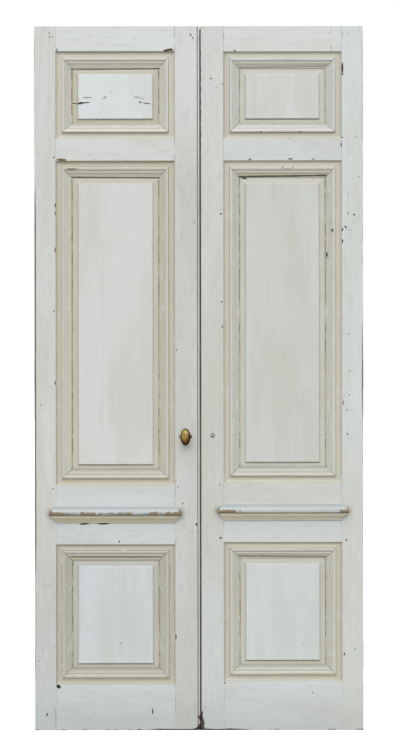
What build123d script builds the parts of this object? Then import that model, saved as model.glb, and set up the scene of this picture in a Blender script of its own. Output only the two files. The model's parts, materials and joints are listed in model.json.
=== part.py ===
from build123d import *
from math import cos, hypot, radians, sin
import os

# A pair of old panelled double doors, each leaf hung on three lift-off butt hinges.
# The frame: +X to the viewer's right, +Y away from the viewer, +Z up. The origin is on the
# floor line, under the middle of the closed pair. All lengths are in millimetres.

# The pair of leaves
pair_width = 1120.0
leaf_height = 2400.0
leaf_thickness = 42.0
meeting_offset = 5.5  # the meeting line stands this far right of the middle
meeting_back_gap = 0.5
meeting_clearance = 0.2  # kept by a swinging meeting edge from its neighbour

# Stiles and rails
hinge_stile_width = 72.0
left_meeting_stile_width = 84.0
right_meeting_stile_width = 76.0
left_bottom_rail = 156.0
right_bottom_rail = 166.5
lock_rail = 202.5
frieze_rail = 75.0
left_top_rail = 84.5
right_top_rail = 86.0
bottom_opening_share = 0.2537  # of the height that the rails leave
top_opening_share = 0.1587
bead_radius = 3.0
quirk_width = 4.0
quirk_depth = 4.5

# Joints in the wood
groove_depth = 10.0
tenon_end_wood = 21.0  # left in a stile beyond a tenon
tenon_shoulder = 6.0  # from the groove or end of a rail to its tenon
joint_clearance = 0.15
panel_gap = 1.0  # room for a panel to swell in its groove
peg_side = 7.0
peg_set = 22.0  # from the shoulder of a joint to its pegs
peg_spread_share = 0.5  # of the tenon's height, between its two pegs

# Panels and their mouldings
panel_thickness = 14.0
field_step = 4.0
field_slope = 25.0  # degrees
panel_margin = 20.0
panel_foot_margin = 13.0  # a panel that has shrunk stands low in its grooves
moulding_width = 56.0
back_moulding_width = 30.0
back_panel_margin = 24.0

# Points of the front moulding, as shares of its width and of its depth
quirk_top_shares = (0.0, 0.79)
hollow_through_shares = (0.09, 0.53)
hollow_end_shares = (0.25, 0.43)
ridge_foot_shares = (0.385, 0.43)
ridge_top_shares = (0.4, 0.93)
crest_through_shares = (0.485, 0.97)
crest_end_shares = (0.605, 0.65)
fillet_start_shares = (0.605, 0.6)
fillet_end_shares = (0.68, 0.6)
cove_through_shares = (0.755, 0.34)
cove_end_shares = (0.89, 0.21)
inner_edge_shares = (1.0, 0.18)

# Points of the back moulding, as shares of its width and of its depth
back_top_shares = (0.0, 0.82)
back_round_start_shares = (0.22, 0.82)
back_round_through_shares = (0.72, 0.62)
back_round_end_shares = (1.0, 0.16)

# The ledge across each lock rail
ledge_height = 60.0
ledge_projection = 24.0
ledge_end_set = 3.0  # of its moulded ends inside the opening
left_ledge_drop = 69.0  # from the top of the lock rail
right_ledge_drop = 68.5

# Points of the ledge, as shares of its projection and of its height
ledge_foot_share = 0.15
ledge_foot_top_share = 0.05
ledge_cove_through_shares = (0.44, 0.25)
ledge_cove_end_shares = (0.82, 0.42)
ledge_fillet_shares = (0.9, 0.46)
ledge_nose_start_share = 0.47
ledge_nose_end_share = 0.64
ledge_slope_start_shares = (0.92, 0.68)
ledge_slope_end_shares = (0.2, 0.965)
ledge_top_share = 0.1

# Hinges
hinge_height = 100.0
hinge_plate = 3.0
hinge_plate_gap = 0.6
jamb_stand = 2.0  # of a jamb plate beyond the edge of its leaf
plate_reach = 30.0  # of a plate into the edge, from the back of the leaf
plate_clearance = 0.3
knuckle_radius = 6.0
knuckle_gap = 0.5
knuckle_cap = 5.0
pin_radius = 3.0
pin_clearance = 0.06
lower_hinge_height = 260.0
upper_hinge_drop = 240.0
screw_spacing = 64.0
screw_set = 14.0  # from the back of the leaf to the screws
jamb_hole_radius = 2.4

# Lock, in the meeting stile of the left leaf
knob_rise = 165.0  # from the top of the lock rail
lock_back_wood = 6.85  # between the lock and the panel groove
lock_height = 91.0
lock_thickness = 15.0
lock_wall = 1.5
lock_clearance = 0.3
faceplate_thickness = 2.5
faceplate_width = 20.0
faceplate_height = 150.0
spindle_side = 8.0
spindle_clearance = 0.1
spindle_hole_radius = 9.5
follower_radius = 8.0
follower_clearance = 0.06
finger_height = 11.0  # along the spindle
finger_radius = 14.0
finger_tip_radius = 4.0
finger_width = 4.0
finger_swing = 30.0  # degrees, each side of upright
bolt_thickness = 11.0
bolt_rise = 9.6  # from the spindle to the underside of the bolt
bolt_height = 15.6
bolt_tail = 5.5  # behind the notch for the finger
bolt_set = 0.3  # of the withdrawn bolt behind its faceplate
notch_clearance = 0.25
bolt_clearance = 0.25

# Knobs and their plates
knob_half_width = 17.25
knob_half_height = 29.5
knob_projection = 44.0
neck_radius = 9.0
neck_clearance = 0.06
knob_stand = 0.4  # between a neck and the face of the leaf
socket_wood_share = 0.5  # of the projection, taken up by the spindle
rose_thickness = 3.0
rose_radius = 14.0
rose_lug_reach = 21.0
rose_lug_width = 8.4

cushion_start_share = 0.5  # of the projection
cushion_back_chamfer = 6.0
cushion_front_chamfer = 2.5
crown_start_share = 0.82  # of the projection
crown_width_share = 0.77
crown_height_share = 0.7
crown_chamfer = 4.0
knob_flats = 24  # round an oval

# Strike and flush bolts, in the meeting edge of the right leaf
strike_thickness = 2.0
strike_width = 20.0
strike_height = 80.0
strike_room = 1.0  # round the thrown bolt
strike_depth = 18.0
bolt_plate_thickness = 2.5
bolt_plate_width = 20.0
bolt_plate_length = 170.0
bolt_plate_end = 8.0  # from the end of the leaf
flush_bolt_radius = 5.0
flush_bolt_clearance = 0.3
flush_bolt_depth = 12.0  # from the front of the meeting edge to the bolt
flush_bolt_length = 150.0
flush_bolt_travel = 20.0
flush_bolt_set = 0.4  # of the withdrawn bolt inside the end of the leaf
thumb_width = 6.0
thumb_height = 14.0

# The plug in the hole that the right leaf's knob left
plug_rise = 161.0  # from the top of the lock rail
plug_radius = 8.5
plug_clearance = 0.1
plug_set = 0.8  # of the plug below the face

cut_overrun = 2.0

half_width = pair_width / 2
half_thickness = leaf_thickness / 2
half_panel = panel_thickness / 2
half_groove = half_panel + joint_clearance
pin_standoff = knuckle_radius + knuckle_gap
pin_y = half_thickness + pin_standoff
pin_inset = hinge_plate - jamb_stand + hinge_plate_gap / 2
pin_x = half_width - pin_inset


def block(x_ends, y_ends, z_ends):
    """A box between pairs of planes, given in any order."""
    x_size, y_size, z_size = (abs(ends[1] - ends[0]) for ends in (x_ends, y_ends, z_ends))
    middle = [sum(ends) / 2 for ends in (x_ends, y_ends, z_ends)]
    return Pos(*middle) * Box(x_size, y_size, z_size)


def upright_rod(radius, x, y, z_ends):
    low, high = min(z_ends), max(z_ends)
    return Pos(x, y, (low + high) / 2) * Cylinder(radius, high - low)


def through_rod(radius, x, z, y_ends):
    """A round rod along Y."""
    low, high = min(y_ends), max(y_ends)
    return Pos(x, (low + high) / 2, z) * Rot(90, 0, 0) * Cylinder(radius, high - low)


def both_ways(half):
    return (-half, half)


def grown(ends, room):
    return min(ends) - room, max(ends) + room


def write(name, *shapes):
    """One STEP file for a piece, or for a group of like pieces."""
    whole = shapes[0] if len(shapes) == 1 else Compound(list(shapes))
    export_step(whole, f"parts/{name}.step")


def meeting_edges(side):
    """Where the bevelled meeting edge of a leaf stands, at the front and at the back."""
    back = meeting_offset + side * meeting_back_gap / 2
    radius = abs(side * pin_x - back)
    bevel = hypot(radius, leaf_thickness + pin_standoff) - radius + meeting_clearance
    return back + side * bevel, back


class Leaf:
    """The places of one leaf's members. side is -1 for the left leaf and 1 for the right."""

    def __init__(self, name, side, meeting_stile_width, bottom_rail, top_rail, ledge_drop):
        self.name = name
        self.side = side
        self.outer = side * half_width
        self.meeting_front, self.meeting_back = meeting_edges(side)
        self.hinge_inner = self.outer - side * hinge_stile_width
        self.meeting_inner = self.meeting_front + side * meeting_stile_width
        self.opening_ends = sorted((self.hinge_inner, self.meeting_inner))
        room = leaf_height - bottom_rail - lock_rail - frieze_rail - top_rail
        lock_foot = bottom_rail + bottom_opening_share * room
        top_foot = leaf_height - top_rail
        frieze_foot = top_foot - top_opening_share * room - frieze_rail
        self.rails = {
            "bottom_rail": (0, bottom_rail),
            "lock_rail": (lock_foot, lock_foot + lock_rail),
            "frieze_rail": (frieze_foot, frieze_foot + frieze_rail),
            "top_rail": (top_foot, leaf_height),
        }
        self.openings = {
            "bottom": (bottom_rail, lock_foot),
            "tall": (lock_foot + lock_rail, frieze_foot),
            "top": (frieze_foot + frieze_rail, top_foot),
        }
        self.lock_rail_top = lock_foot + lock_rail
        self.ledge_top = self.lock_rail_top - ledge_drop

    def rail_core(self, ends):
        """A rail between its panel grooves: where its haunch is."""
        low = ends[0] + (groove_depth if ends[0] > 0 else 0)
        high = ends[1] - (groove_depth if ends[1] < leaf_height else 0)
        return low, high

    def tenon_ends(self, ends):
        low, high = self.rail_core(ends)
        return low + tenon_shoulder, high - tenon_shoulder

    def stiles(self):
        """The inner edge of each stile, the way into its wood, and how deep a tenon goes."""
        hinge_tenon = hinge_stile_width - tenon_end_wood
        meeting_tenon = abs(self.meeting_inner - self.meeting_front) - tenon_end_wood
        return (
            (self.hinge_inner, self.side, hinge_tenon),
            (self.meeting_inner, -self.side, meeting_tenon),
        )

    def peg_places(self):
        for inner, way, depth in self.stiles():
            for ends in self.rails.values():
                low, high = self.tenon_ends(ends)
                spread = (high - low) * peg_spread_share / 2
                for z in ((low + high) / 2 - spread, (low + high) / 2 + spread):
                    yield inner, inner + way * peg_set, z


def peg(x, z, size):
    return block(
        (x - size / 2, x + size / 2),
        both_ways(half_thickness),
        (z - size / 2, z + size / 2),
    )


def joint_cuts(leaf, inner, way, depth):
    """The panel groove of a stile, its mortises and its peg holes."""
    mouth = inner - way * cut_overrun
    groove = block(
        (mouth, inner + way * groove_depth),
        both_ways(half_groove),
        (-cut_overrun, leaf_height + cut_overrun),
    )
    cuts = [groove]
    for ends in leaf.rails.values():
        low, high = leaf.tenon_ends(ends)
        cuts.append(
            block(
                (mouth, inner + way * (depth + joint_clearance)),
                both_ways(half_groove),
                (low - joint_clearance, high + joint_clearance),
            )
        )
    for peg_inner, x, z in leaf.peg_places():
        if peg_inner == inner:
            cuts.append(peg(x, z, peg_side + joint_clearance))
    return cuts


def hinge_middles():
    lower = lower_hinge_height
    upper = leaf_height - upper_hinge_drop
    return {"lower": lower, "middle": (lower + upper) / 2, "upper": upper}


def screw_heights(middle):
    return middle - screw_spacing / 2, middle + screw_spacing / 2


def hinge_stile(leaf):
    wood = block(
        (leaf.outer, leaf.hinge_inner), both_ways(half_thickness), (0, leaf_height)
    )
    inner, way, depth = leaf.stiles()[0]
    cuts = joint_cuts(leaf, inner, way, depth)
    gain_floor = leaf.outer - leaf.side * (pin_inset + hinge_plate_gap / 2 + hinge_plate)
    half_gain = hinge_height / 2 + plate_clearance
    for middle in hinge_middles().values():
        cuts.append(
            block(
                (leaf.outer + leaf.side * cut_overrun, gain_floor),
                (half_thickness - plate_reach - plate_clearance, half_thickness + cut_overrun),
                (middle - half_gain, middle + half_gain),
            )
        )
    return wood - cuts


def beaded_section(leaf):
    """The left meeting stile's section: a quirk and a bead beside the bevelled edge."""
    front = -half_thickness
    edge = leaf.meeting_front
    bead_middle = edge - bead_radius
    bead_start = edge - 2 * bead_radius
    bead_line = front + bead_radius
    quirk_start = bead_start - quirk_width
    quirk_line = front + quirk_depth
    run = [
        Line((leaf.meeting_inner, front), (quirk_start, front)),
        Line((quirk_start, front), (bead_start, quirk_line)),
        Line((bead_start, quirk_line), (bead_start, bead_line)),
        ThreePointArc((bead_start, bead_line), (bead_middle, front), (edge, bead_line)),
        Line((edge, bead_line), (leaf.meeting_back, half_thickness)),
        Line((leaf.meeting_back, half_thickness), (leaf.meeting_inner, half_thickness)),
        Line((leaf.meeting_inner, half_thickness), (leaf.meeting_inner, front)),
    ]
    return make_face(run)


def plain_section(leaf):
    """The right meeting stile's section, bevelled at its meeting edge."""
    front = -half_thickness
    corners = [
        (leaf.meeting_inner, front),
        (leaf.meeting_front, front),
        (leaf.meeting_back, half_thickness),
        (leaf.meeting_inner, half_thickness),
    ]
    return make_face(Polyline(*corners, close=True))


def rail(leaf, name):
    """A rail with panel grooves, and at each end a haunch and a pegged tenon."""
    ends = leaf.rails[name]
    core = leaf.rail_core(ends)
    tenon = leaf.tenon_ends(ends)
    wood = block(leaf.opening_ends, both_ways(half_thickness), ends)
    long_way = (leaf.opening_ends[0] - cut_overrun, leaf.opening_ends[1] + cut_overrun)
    if ends[0] > 0:
        wood -= block(long_way, both_ways(half_groove), (ends[0] - cut_overrun, core[0]))
    if ends[1] < leaf_height:
        wood -= block(long_way, both_ways(half_groove), (core[1], ends[1] + cut_overrun))
    for inner, way, depth in leaf.stiles():
        haunch_end = inner + way * (groove_depth - joint_clearance)
        wood += block((inner, haunch_end), both_ways(half_panel), core)
        wood += block((inner, inner + way * depth), both_ways(half_panel), tenon)
    holes = [
        peg(x, z, peg_side + joint_clearance)
        for inner, x, z in leaf.peg_places()
        if tenon[0] < z < tenon[1]
    ]
    return wood - holes


def panel(leaf, name):
    """A fielded panel: its tongue runs into the grooves, and its field is raised on both faces."""
    low, high = leaf.openings[name]
    left, right = leaf.opening_ends
    tongue = groove_depth - panel_gap
    board = block(
        (left - tongue, right + tongue), both_ways(half_panel), (low - tongue, high + tongue)
    )
    middle = Pos((left + right) / 2, 0, (low + high) / 2)
    front_edge = 2 * (moulding_width + panel_margin)
    drop = panel_margin - panel_foot_margin
    back_edge = 2 * (back_moulding_width + back_panel_margin)
    front_face = Plane.XZ.offset(half_panel) * Rectangle(
        right - left - front_edge, high - low - front_edge + drop
    )
    back_face = Plane.XZ.offset(half_panel) * Rectangle(
        right - left - back_edge, high - low - back_edge
    )
    front = Pos(0, 0, -drop / 2) * extrude(front_face, field_step, taper=field_slope)
    back = mirror(extrude(back_face, field_step, taper=field_slope), about=Plane.XZ)
    return board + middle * front + middle * back


def profile_point(shares, width, depth):
    """A point of a moulding's section: out from the panel along X, in from the frame along Y."""
    return shares[1] * depth, shares[0] * width


def front_profile(width, depth):
    def at(shares):
        return profile_point(shares, width, depth)

    run = [
        Line((0, 0), at(quirk_top_shares)),
        ThreePointArc(at(quirk_top_shares), at(hollow_through_shares), at(hollow_end_shares)),
        Polyline(at(hollow_end_shares), at(ridge_foot_shares), at(ridge_top_shares)),
        ThreePointArc(at(ridge_top_shares), at(crest_through_shares), at(crest_end_shares)),
        Polyline(at(crest_end_shares), at(fillet_start_shares), at(fillet_end_shares)),
        ThreePointArc(at(fillet_end_shares), at(cove_through_shares), at(cove_end_shares)),
        Polyline(at(cove_end_shares), at(inner_edge_shares), (0, width), (0, 0)),
    ]
    return make_face([edge for line in run for edge in line.edges()])


def back_profile(width, depth):
    def at(shares):
        return profile_point(shares, width, depth)

    run = [
        Polyline((0, 0), at(back_top_shares), at(back_round_start_shares)),
        ThreePointArc(
            at(back_round_start_shares), at(back_round_through_shares), at(back_round_end_shares)
        ),
        Polyline(at(back_round_end_shares), (0, width), (0, 0)),
    ]
    return make_face([edge for line in run for edge in line.edges()])


def mitred_length(section, length, across, width):
    """One length of moulding at the foot of an opening, mitred at both ends."""
    start = Plane(origin=(length / 2, 0, -across / 2), x_dir=(0, -1, 0), z_dir=(-1, 0, 0))
    run = extrude(start * section, length)
    foot = -across / 2
    corners = [
        (-length / 2, foot),
        (length / 2, foot),
        (length / 2 - width, foot + width),
        (-length / 2 + width, foot + width),
    ]
    plan = Plane.XZ * make_face(Polyline(*corners, close=True))
    return run & extrude(plan, leaf_thickness)


def mitred_frame(section, across, high, width):
    """Four mitred lengths round an opening, on the front of its panel."""
    level = mitred_length(section, across, high, width)
    upright = mitred_length(section, high, across, width)
    return [
        level,
        Rot(0, 90, 0) * upright,
        Rot(0, 180, 0) * level,
        Rot(0, -90, 0) * upright,
    ]


def mouldings(leaf, name):
    low, high = leaf.openings[name]
    left, right = leaf.opening_ends
    depth = half_thickness - half_panel
    front_place = Pos((left + right) / 2, -half_panel, (low + high) / 2)
    back_place = Pos((left + right) / 2, half_panel, (low + high) / 2)
    front = mitred_frame(
        front_profile(moulding_width, depth), right - left, high - low, moulding_width
    )
    back = mitred_frame(
        back_profile(back_moulding_width, depth), right - left, high - low, back_moulding_width
    )
    lengths = [front_place * piece for piece in front]
    lengths += [back_place * mirror(piece, about=Plane.XZ) for piece in back]
    return lengths


def ledge_section(start):
    """The ledge's section: out along X from its start, and up along Y."""

    def at(out_share, up_share):
        return start + out_share * ledge_projection, up_share * ledge_height

    foot = at(ledge_foot_share, ledge_foot_top_share)
    cove_end = at(*ledge_cove_end_shares)
    fillet_out, fillet_up = ledge_fillet_shares
    outline = [
        Polyline((start, 0), at(ledge_foot_share, 0), foot),
        ThreePointArc(foot, at(*ledge_cove_through_shares), cove_end),
        Polyline(
            cove_end,
            at(fillet_out, ledge_cove_end_shares[1]),
            at(fillet_out, fillet_up),
            at(1, ledge_nose_start_share),
            at(1, ledge_nose_end_share),
            at(*ledge_slope_start_shares),
            at(*ledge_slope_end_shares),
            at(ledge_top_share, 1),
            (start, ledge_height),
            (start, 0),
        ),
    ]
    return make_face([edge for line in outline for edge in line.edges()])


def ledge(leaf):
    """A moulded ledge whose section also returns round both ends."""
    left, right = leaf.opening_ends
    half_length = (right - left) / 2 - ledge_end_set
    reach = half_length + ledge_projection
    along = Plane(origin=(reach, 0, 0), x_dir=(0, -1, 0), z_dir=(-1, 0, 0))
    face_run = extrude(along * ledge_section(0), 2 * reach)
    end = ledge_section(half_length)
    core = Pos(half_length / 2, ledge_height / 2) * Rectangle(half_length, ledge_height)
    half_view = core + end
    returned = extrude(Plane.XZ * (half_view + mirror(half_view, about=Plane.YZ)), ledge_projection)
    shape = face_run & returned
    foot = leaf.ledge_top - ledge_height
    return Pos((left + right) / 2, -half_thickness, foot) * shape


def hinge_half(leaf, middle, way, own, other):
    """A hinge plate with its knuckle. own and other are the ends of the two knuckles."""
    axis_x = leaf.side * pin_x
    near = axis_x + way * hinge_plate_gap / 2
    plate = block(
        (near, near + way * hinge_plate),
        (half_thickness - plate_reach, pin_y),
        (middle - hinge_height / 2, middle + hinge_height / 2),
    )
    room = knuckle_radius + plate_clearance
    notch = block(
        (axis_x - room, axis_x + room), (pin_y - room, pin_y + room), grown(other, plate_clearance)
    )
    return plate - notch + upright_rod(knuckle_radius, axis_x, pin_y, own)


def knuckles(middle):
    """The ends of the jamb's knuckle, which is the lower one, and of the door's."""
    half = hinge_height / 2
    return (middle - half, middle - plate_clearance / 2), (middle + plate_clearance / 2, middle + half)


def door_plate(leaf, middle):
    """The plate let into the edge of the leaf. Its knuckle drops over the pin."""
    lower, upper = knuckles(middle)
    bore = upright_rod(
        pin_radius + pin_clearance,
        leaf.side * pin_x,
        pin_y,
        (upper[0] - cut_overrun, upper[1] - knuckle_cap),
    )
    return hinge_half(leaf, middle, -leaf.side, upper, lower) - bore


def jamb_plate(leaf, middle):
    """The plate that carries the pin, with the holes for its screws."""
    lower, upper = knuckles(middle)
    half = hinge_half(leaf, middle, leaf.side, lower, upper)
    half += upright_rod(
        pin_radius,
        leaf.side * pin_x,
        pin_y,
        (lower[1] - cut_overrun, upper[1] - knuckle_cap - plate_clearance),
    )
    plate_middle = leaf.side * (pin_x + (hinge_plate_gap + hinge_plate) / 2)
    for z in screw_heights(middle):
        hole = Rot(0, 90, 0) * Cylinder(jamb_hole_radius, hinge_plate + cut_overrun)
        half -= Pos(plate_middle, half_thickness - screw_set, z) * hole
    return half


LEFT = Leaf(
    "left", -1, left_meeting_stile_width, left_bottom_rail, left_top_rail, left_ledge_drop
)
RIGHT = Leaf(
    "right", 1, right_meeting_stile_width, right_bottom_rail, right_top_rail, right_ledge_drop
)

# Places in the lock, from the back of its pocket forward to the meeting edge
knob_z = LEFT.lock_rail_top + knob_rise
lock_back = LEFT.meeting_inner + groove_depth + lock_back_wood
bolt_tail_x = lock_back + lock_wall + lock_clearance
finger_x = bolt_tail_x + bolt_tail + notch_clearance + finger_tip_radius
spindle_x = finger_x + finger_radius * sin(radians(finger_swing))
faceplate_front = LEFT.meeting_front
faceplate_back = faceplate_front - faceplate_thickness
lock_ends = (lock_back, faceplate_back)
lock_heights = (knob_z - lock_height / 2, knob_z + lock_height / 2)
half_lock = lock_thickness / 2
bolt_heights = (knob_z + bolt_rise, knob_z + bolt_rise + bolt_height)
bolt_throw = 2 * finger_radius * sin(radians(finger_swing))
bolt_nose = faceplate_front - bolt_set


def bolt_hole(x_ends, room):
    return block(x_ends, both_ways(bolt_thickness / 2 + room), grown(bolt_heights, room))


def left_meeting_stile():
    wood = extrude(beaded_section(LEFT), leaf_height)
    inner, way, depth = LEFT.stiles()[1]
    cuts = joint_cuts(LEFT, inner, way, depth)
    cuts.append(
        block(
            (lock_back - lock_clearance, faceplate_back),
            both_ways(half_lock + lock_clearance),
            grown(lock_heights, lock_clearance),
        )
    )
    cuts.append(
        block(
            (faceplate_back, LEFT.meeting_back + cut_overrun),
            both_ways(faceplate_width / 2 + lock_clearance),
            (
                knob_z - faceplate_height / 2 - lock_clearance,
                knob_z + faceplate_height / 2 + lock_clearance,
            ),
        )
    )
    cuts.append(
        through_rod(
            spindle_hole_radius, spindle_x, knob_z, both_ways(half_thickness + cut_overrun)
        )
    )
    return wood - cuts


def lock_case():
    """An open steel tray, with a bearing for the follower and a way out for the bolt."""
    outside = block(lock_ends, (-half_lock, half_lock - lock_wall), lock_heights)
    inside = block(
        grown(lock_ends, -lock_wall), (lock_wall - half_lock, half_lock), grown(lock_heights, -lock_wall)
    )
    bearing = through_rod(
        follower_radius + follower_clearance, spindle_x, knob_z, both_ways(half_lock + cut_overrun)
    )
    way_out = bolt_hole((faceplate_back - lock_wall - cut_overrun, faceplate_front), bolt_clearance)
    return outside - inside - bearing - way_out


def lock_cover():
    plate = block(lock_ends, (half_lock - lock_wall, half_lock), lock_heights)
    return plate - through_rod(
        follower_radius + follower_clearance, spindle_x, knob_z, both_ways(half_lock + cut_overrun)
    )


def lock_faceplate():
    plate = block(
        (faceplate_back, faceplate_front),
        both_ways(faceplate_width / 2),
        (knob_z - faceplate_height / 2, knob_z + faceplate_height / 2),
    )
    return plate - bolt_hole(
        (faceplate_back - cut_overrun, faceplate_front + cut_overrun), bolt_clearance
    )


def lock_follower():
    """The hub that the spindle turns. Its finger throws the bolt."""
    hub = through_rod(follower_radius, spindle_x, knob_z, both_ways(half_lock))
    stem = Pos(0, 0, finger_radius / 2) * Box(finger_width, finger_height, finger_radius)
    tip = Pos(0, 0, finger_radius) * Rot(90, 0, 0) * Cylinder(finger_tip_radius, finger_height)
    finger = Pos(spindle_x, 0, knob_z) * Rot(0, -finger_swing, 0) * (stem + tip)
    socket_side = spindle_side + 2 * spindle_clearance
    socket = Pos(spindle_x, 0, knob_z) * Box(socket_side, lock_thickness + cut_overrun, socket_side)
    return hub + finger - socket


def lock_bolt():
    bar = block((bolt_tail_x, bolt_nose), both_ways(bolt_thickness / 2), bolt_heights)
    half_notch = finger_tip_radius + notch_clearance
    notch = block(
        (finger_x - half_notch, finger_x + half_notch),
        both_ways(bolt_thickness),
        (knob_z, knob_z + finger_radius + finger_tip_radius + notch_clearance),
    )
    return bar - notch


def knob_spindle():
    reach = half_thickness + knob_projection * socket_wood_share
    return Pos(spindle_x, 0, knob_z) * Box(spindle_side, 2 * reach, spindle_side)


def oval_block(half_width, half_height, start, end):
    """An oval with short flats, between two distances from the face of the leaf."""
    turns = [radians(360 * step / knob_flats) for step in range(knob_flats)]
    rim = Polyline(*[(half_width * cos(turn), half_height * sin(turn)) for turn in turns], close=True)
    return extrude(Plane.XZ.offset(start) * make_face(rim), end - start)


def knob():
    """The front knob: an oval cushion and its crown, on a round neck with a square socket."""
    cushion_start = cushion_start_share * knob_projection
    crown_start = crown_start_share * knob_projection
    cushion = oval_block(knob_half_width, knob_half_height, cushion_start, crown_start)
    cushion = chamfer(cushion.faces().sort_by(Axis.Y)[-1].edges(), cushion_back_chamfer)
    cushion = chamfer(cushion.faces().sort_by(Axis.Y)[0].edges(), cushion_front_chamfer)
    crown = oval_block(
        crown_width_share * knob_half_width,
        crown_height_share * knob_half_height,
        crown_start,
        knob_projection,
    )
    crown = chamfer(crown.faces().sort_by(Axis.Y)[0].edges(), crown_chamfer)
    neck = through_rod(neck_radius, 0, 0, (-knob_stand, -cushion_start))
    body = neck + cushion + crown
    socket_side = spindle_side + 2 * spindle_clearance
    depth = knob_projection * socket_wood_share + spindle_clearance
    socket = block(both_ways(socket_side / 2), (0, -depth), both_ways(socket_side / 2))
    return Pos(spindle_x, -half_thickness, knob_z) * (body - socket)


def rose():
    """The plate behind a knob, with a lug on each side."""
    outline = Circle(rose_radius)
    outline += Rectangle(2 * rose_lug_reach, rose_lug_width)
    outline -= Circle(neck_radius + neck_clearance)
    plate = extrude(Plane.XZ * outline, rose_thickness)
    return Pos(spindle_x, -half_thickness, knob_z) * plate


def to_back(piece):
    return mirror(piece, about=Plane.XZ)


# Places in the meeting edge of the right leaf
strike_front = RIGHT.meeting_front
strike_z = (bolt_heights[0] + bolt_heights[1]) / 2
flush_bolt_x = RIGHT.meeting_front + flush_bolt_depth
plug_x = -spindle_x
plug_z = RIGHT.lock_rail_top + plug_rise


def strike_plate():
    plate = block(
        (strike_front, strike_front + strike_thickness),
        both_ways(strike_width / 2),
        (strike_z - strike_height / 2, strike_z + strike_height / 2),
    )
    return plate - bolt_hole(
        (strike_front - cut_overrun, strike_front + strike_thickness + cut_overrun), strike_room
    )


class FlushBolt:
    """A bolt in the top or bottom end of the right meeting stile. way is 1 at the top."""

    def __init__(self, way):
        self.way = way
        self.leaf_end = leaf_height if way > 0 else 0
        self.nose = self.leaf_end - way * flush_bolt_set
        self.tail = self.nose - way * flush_bolt_length
        self.plate_outer = self.leaf_end - way * bolt_plate_end
        self.plate_inner = self.plate_outer - way * bolt_plate_length
        self.thumb_near = self.tail + way * thumb_height
        self.slot_ends = (
            self.tail - way * flush_bolt_clearance,
            self.thumb_near + way * (flush_bolt_travel + flush_bolt_clearance),
        )

    def bolt(self):
        rod = upright_rod(flush_bolt_radius, flush_bolt_x, 0, (self.tail, self.nose))
        thumb = block(
            (strike_front + flush_bolt_clearance, flush_bolt_x),
            both_ways(thumb_width / 2),
            (self.tail, self.thumb_near),
        )
        return rod + thumb

    def slot(self, x_ends):
        return block(x_ends, both_ways(thumb_width / 2 + flush_bolt_clearance), self.slot_ends)

    def plate(self):
        x_ends = (strike_front, strike_front + bolt_plate_thickness)
        plate = block(
            x_ends, both_ways(bolt_plate_width / 2), (self.plate_inner, self.plate_outer)
        )
        return plate - self.slot(grown(x_ends, cut_overrun))

    def cuts(self):
        """The bore, the slot and the seat of the plate, in the stile."""
        bore = upright_rod(
            flush_bolt_radius + flush_bolt_clearance,
            flush_bolt_x,
            0,
            (self.tail - self.way * flush_bolt_clearance, self.leaf_end + self.way * cut_overrun),
        )
        seat = block(
            (RIGHT.meeting_back - cut_overrun, strike_front + bolt_plate_thickness),
            both_ways(bolt_plate_width / 2 + lock_clearance),
            grown((self.plate_inner, self.plate_outer), lock_clearance),
        )
        return [bore, seat, self.slot((strike_front, flush_bolt_x))]


def right_meeting_stile(flush_bolts):
    wood = extrude(plain_section(RIGHT), leaf_height)
    inner, way, depth = RIGHT.stiles()[1]
    cuts = joint_cuts(RIGHT, inner, way, depth)
    cuts.append(
        block(
            (RIGHT.meeting_back - cut_overrun, strike_front + strike_thickness),
            both_ways(strike_width / 2 + lock_clearance),
            grown((strike_z - strike_height / 2, strike_z + strike_height / 2), lock_clearance),
        )
    )
    cuts.append(bolt_hole((strike_front, strike_front + strike_depth), strike_room))
    for flush_bolt in flush_bolts:
        cuts += flush_bolt.cuts()
    cuts.append(
        through_rod(
            plug_radius + plug_clearance, plug_x, plug_z, both_ways(half_thickness + cut_overrun)
        )
    )
    return wood - cuts


def spindle_hole_plug():
    return through_rod(plug_radius, plug_x, plug_z, both_ways(half_thickness - plug_set))


def write_leaf(leaf):
    write(f"{leaf.name}_hinge_stile", hinge_stile(leaf))
    for name in leaf.rails:
        write(f"{leaf.name}_{name}", rail(leaf, name))
    for name in leaf.openings:
        write(f"{leaf.name}_{name}_panel", panel(leaf, name))
        write(f"{leaf.name}_{name}_moulding", *mouldings(leaf, name))
    write(f"{leaf.name}_ledge", ledge(leaf))
    write(
        f"{leaf.name}_tenon_pegs",
        *[peg(x, z, peg_side) for inner, x, z in leaf.peg_places()],
    )


def write_hinges(leaf):
    for name, middle in hinge_middles().items():
        write(f"{leaf.name}_{name}_door_plate", door_plate(leaf, middle))
        write(f"{leaf.name}_{name}_jamb_plate", jamb_plate(leaf, middle))


def write_lock():
    write("left_meeting_stile", left_meeting_stile())
    write("lock_case", lock_case())
    write("lock_cover", lock_cover())
    write("lock_faceplate", lock_faceplate())
    write("lock_follower", lock_follower())
    write("lock_bolt", lock_bolt())
    write("knob_spindle", knob_spindle())
    write("front_knob", knob())
    write("rear_knob", to_back(knob()))
    write("front_rose", rose())
    write("rear_rose", to_back(rose()))


def write_right_edge():
    flush_bolts = {"top": FlushBolt(1), "bottom": FlushBolt(-1)}
    write("right_meeting_stile", right_meeting_stile(flush_bolts.values()))
    write("strike_plate", strike_plate())
    write("spindle_hole_plug", spindle_hole_plug())
    for name, flush_bolt in flush_bolts.items():
        write(f"{name}_flush_bolt", flush_bolt.bolt())
        write(f"{name}_bolt_plate", flush_bolt.plate())


os.makedirs("parts", exist_ok=True)
for leaf in (LEFT, RIGHT):
    write_leaf(leaf)
    write_hinges(leaf)
write_lock()
write_right_edge()
print(f"knob at x {spindle_x:.2f}, z {knob_z:.2f}; bolt throw {bolt_throw:.3f}")
print(f"hinge pins at x {pin_x:.2f}, y {pin_y:.2f}, z {[*hinge_middles().values()]}")
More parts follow.
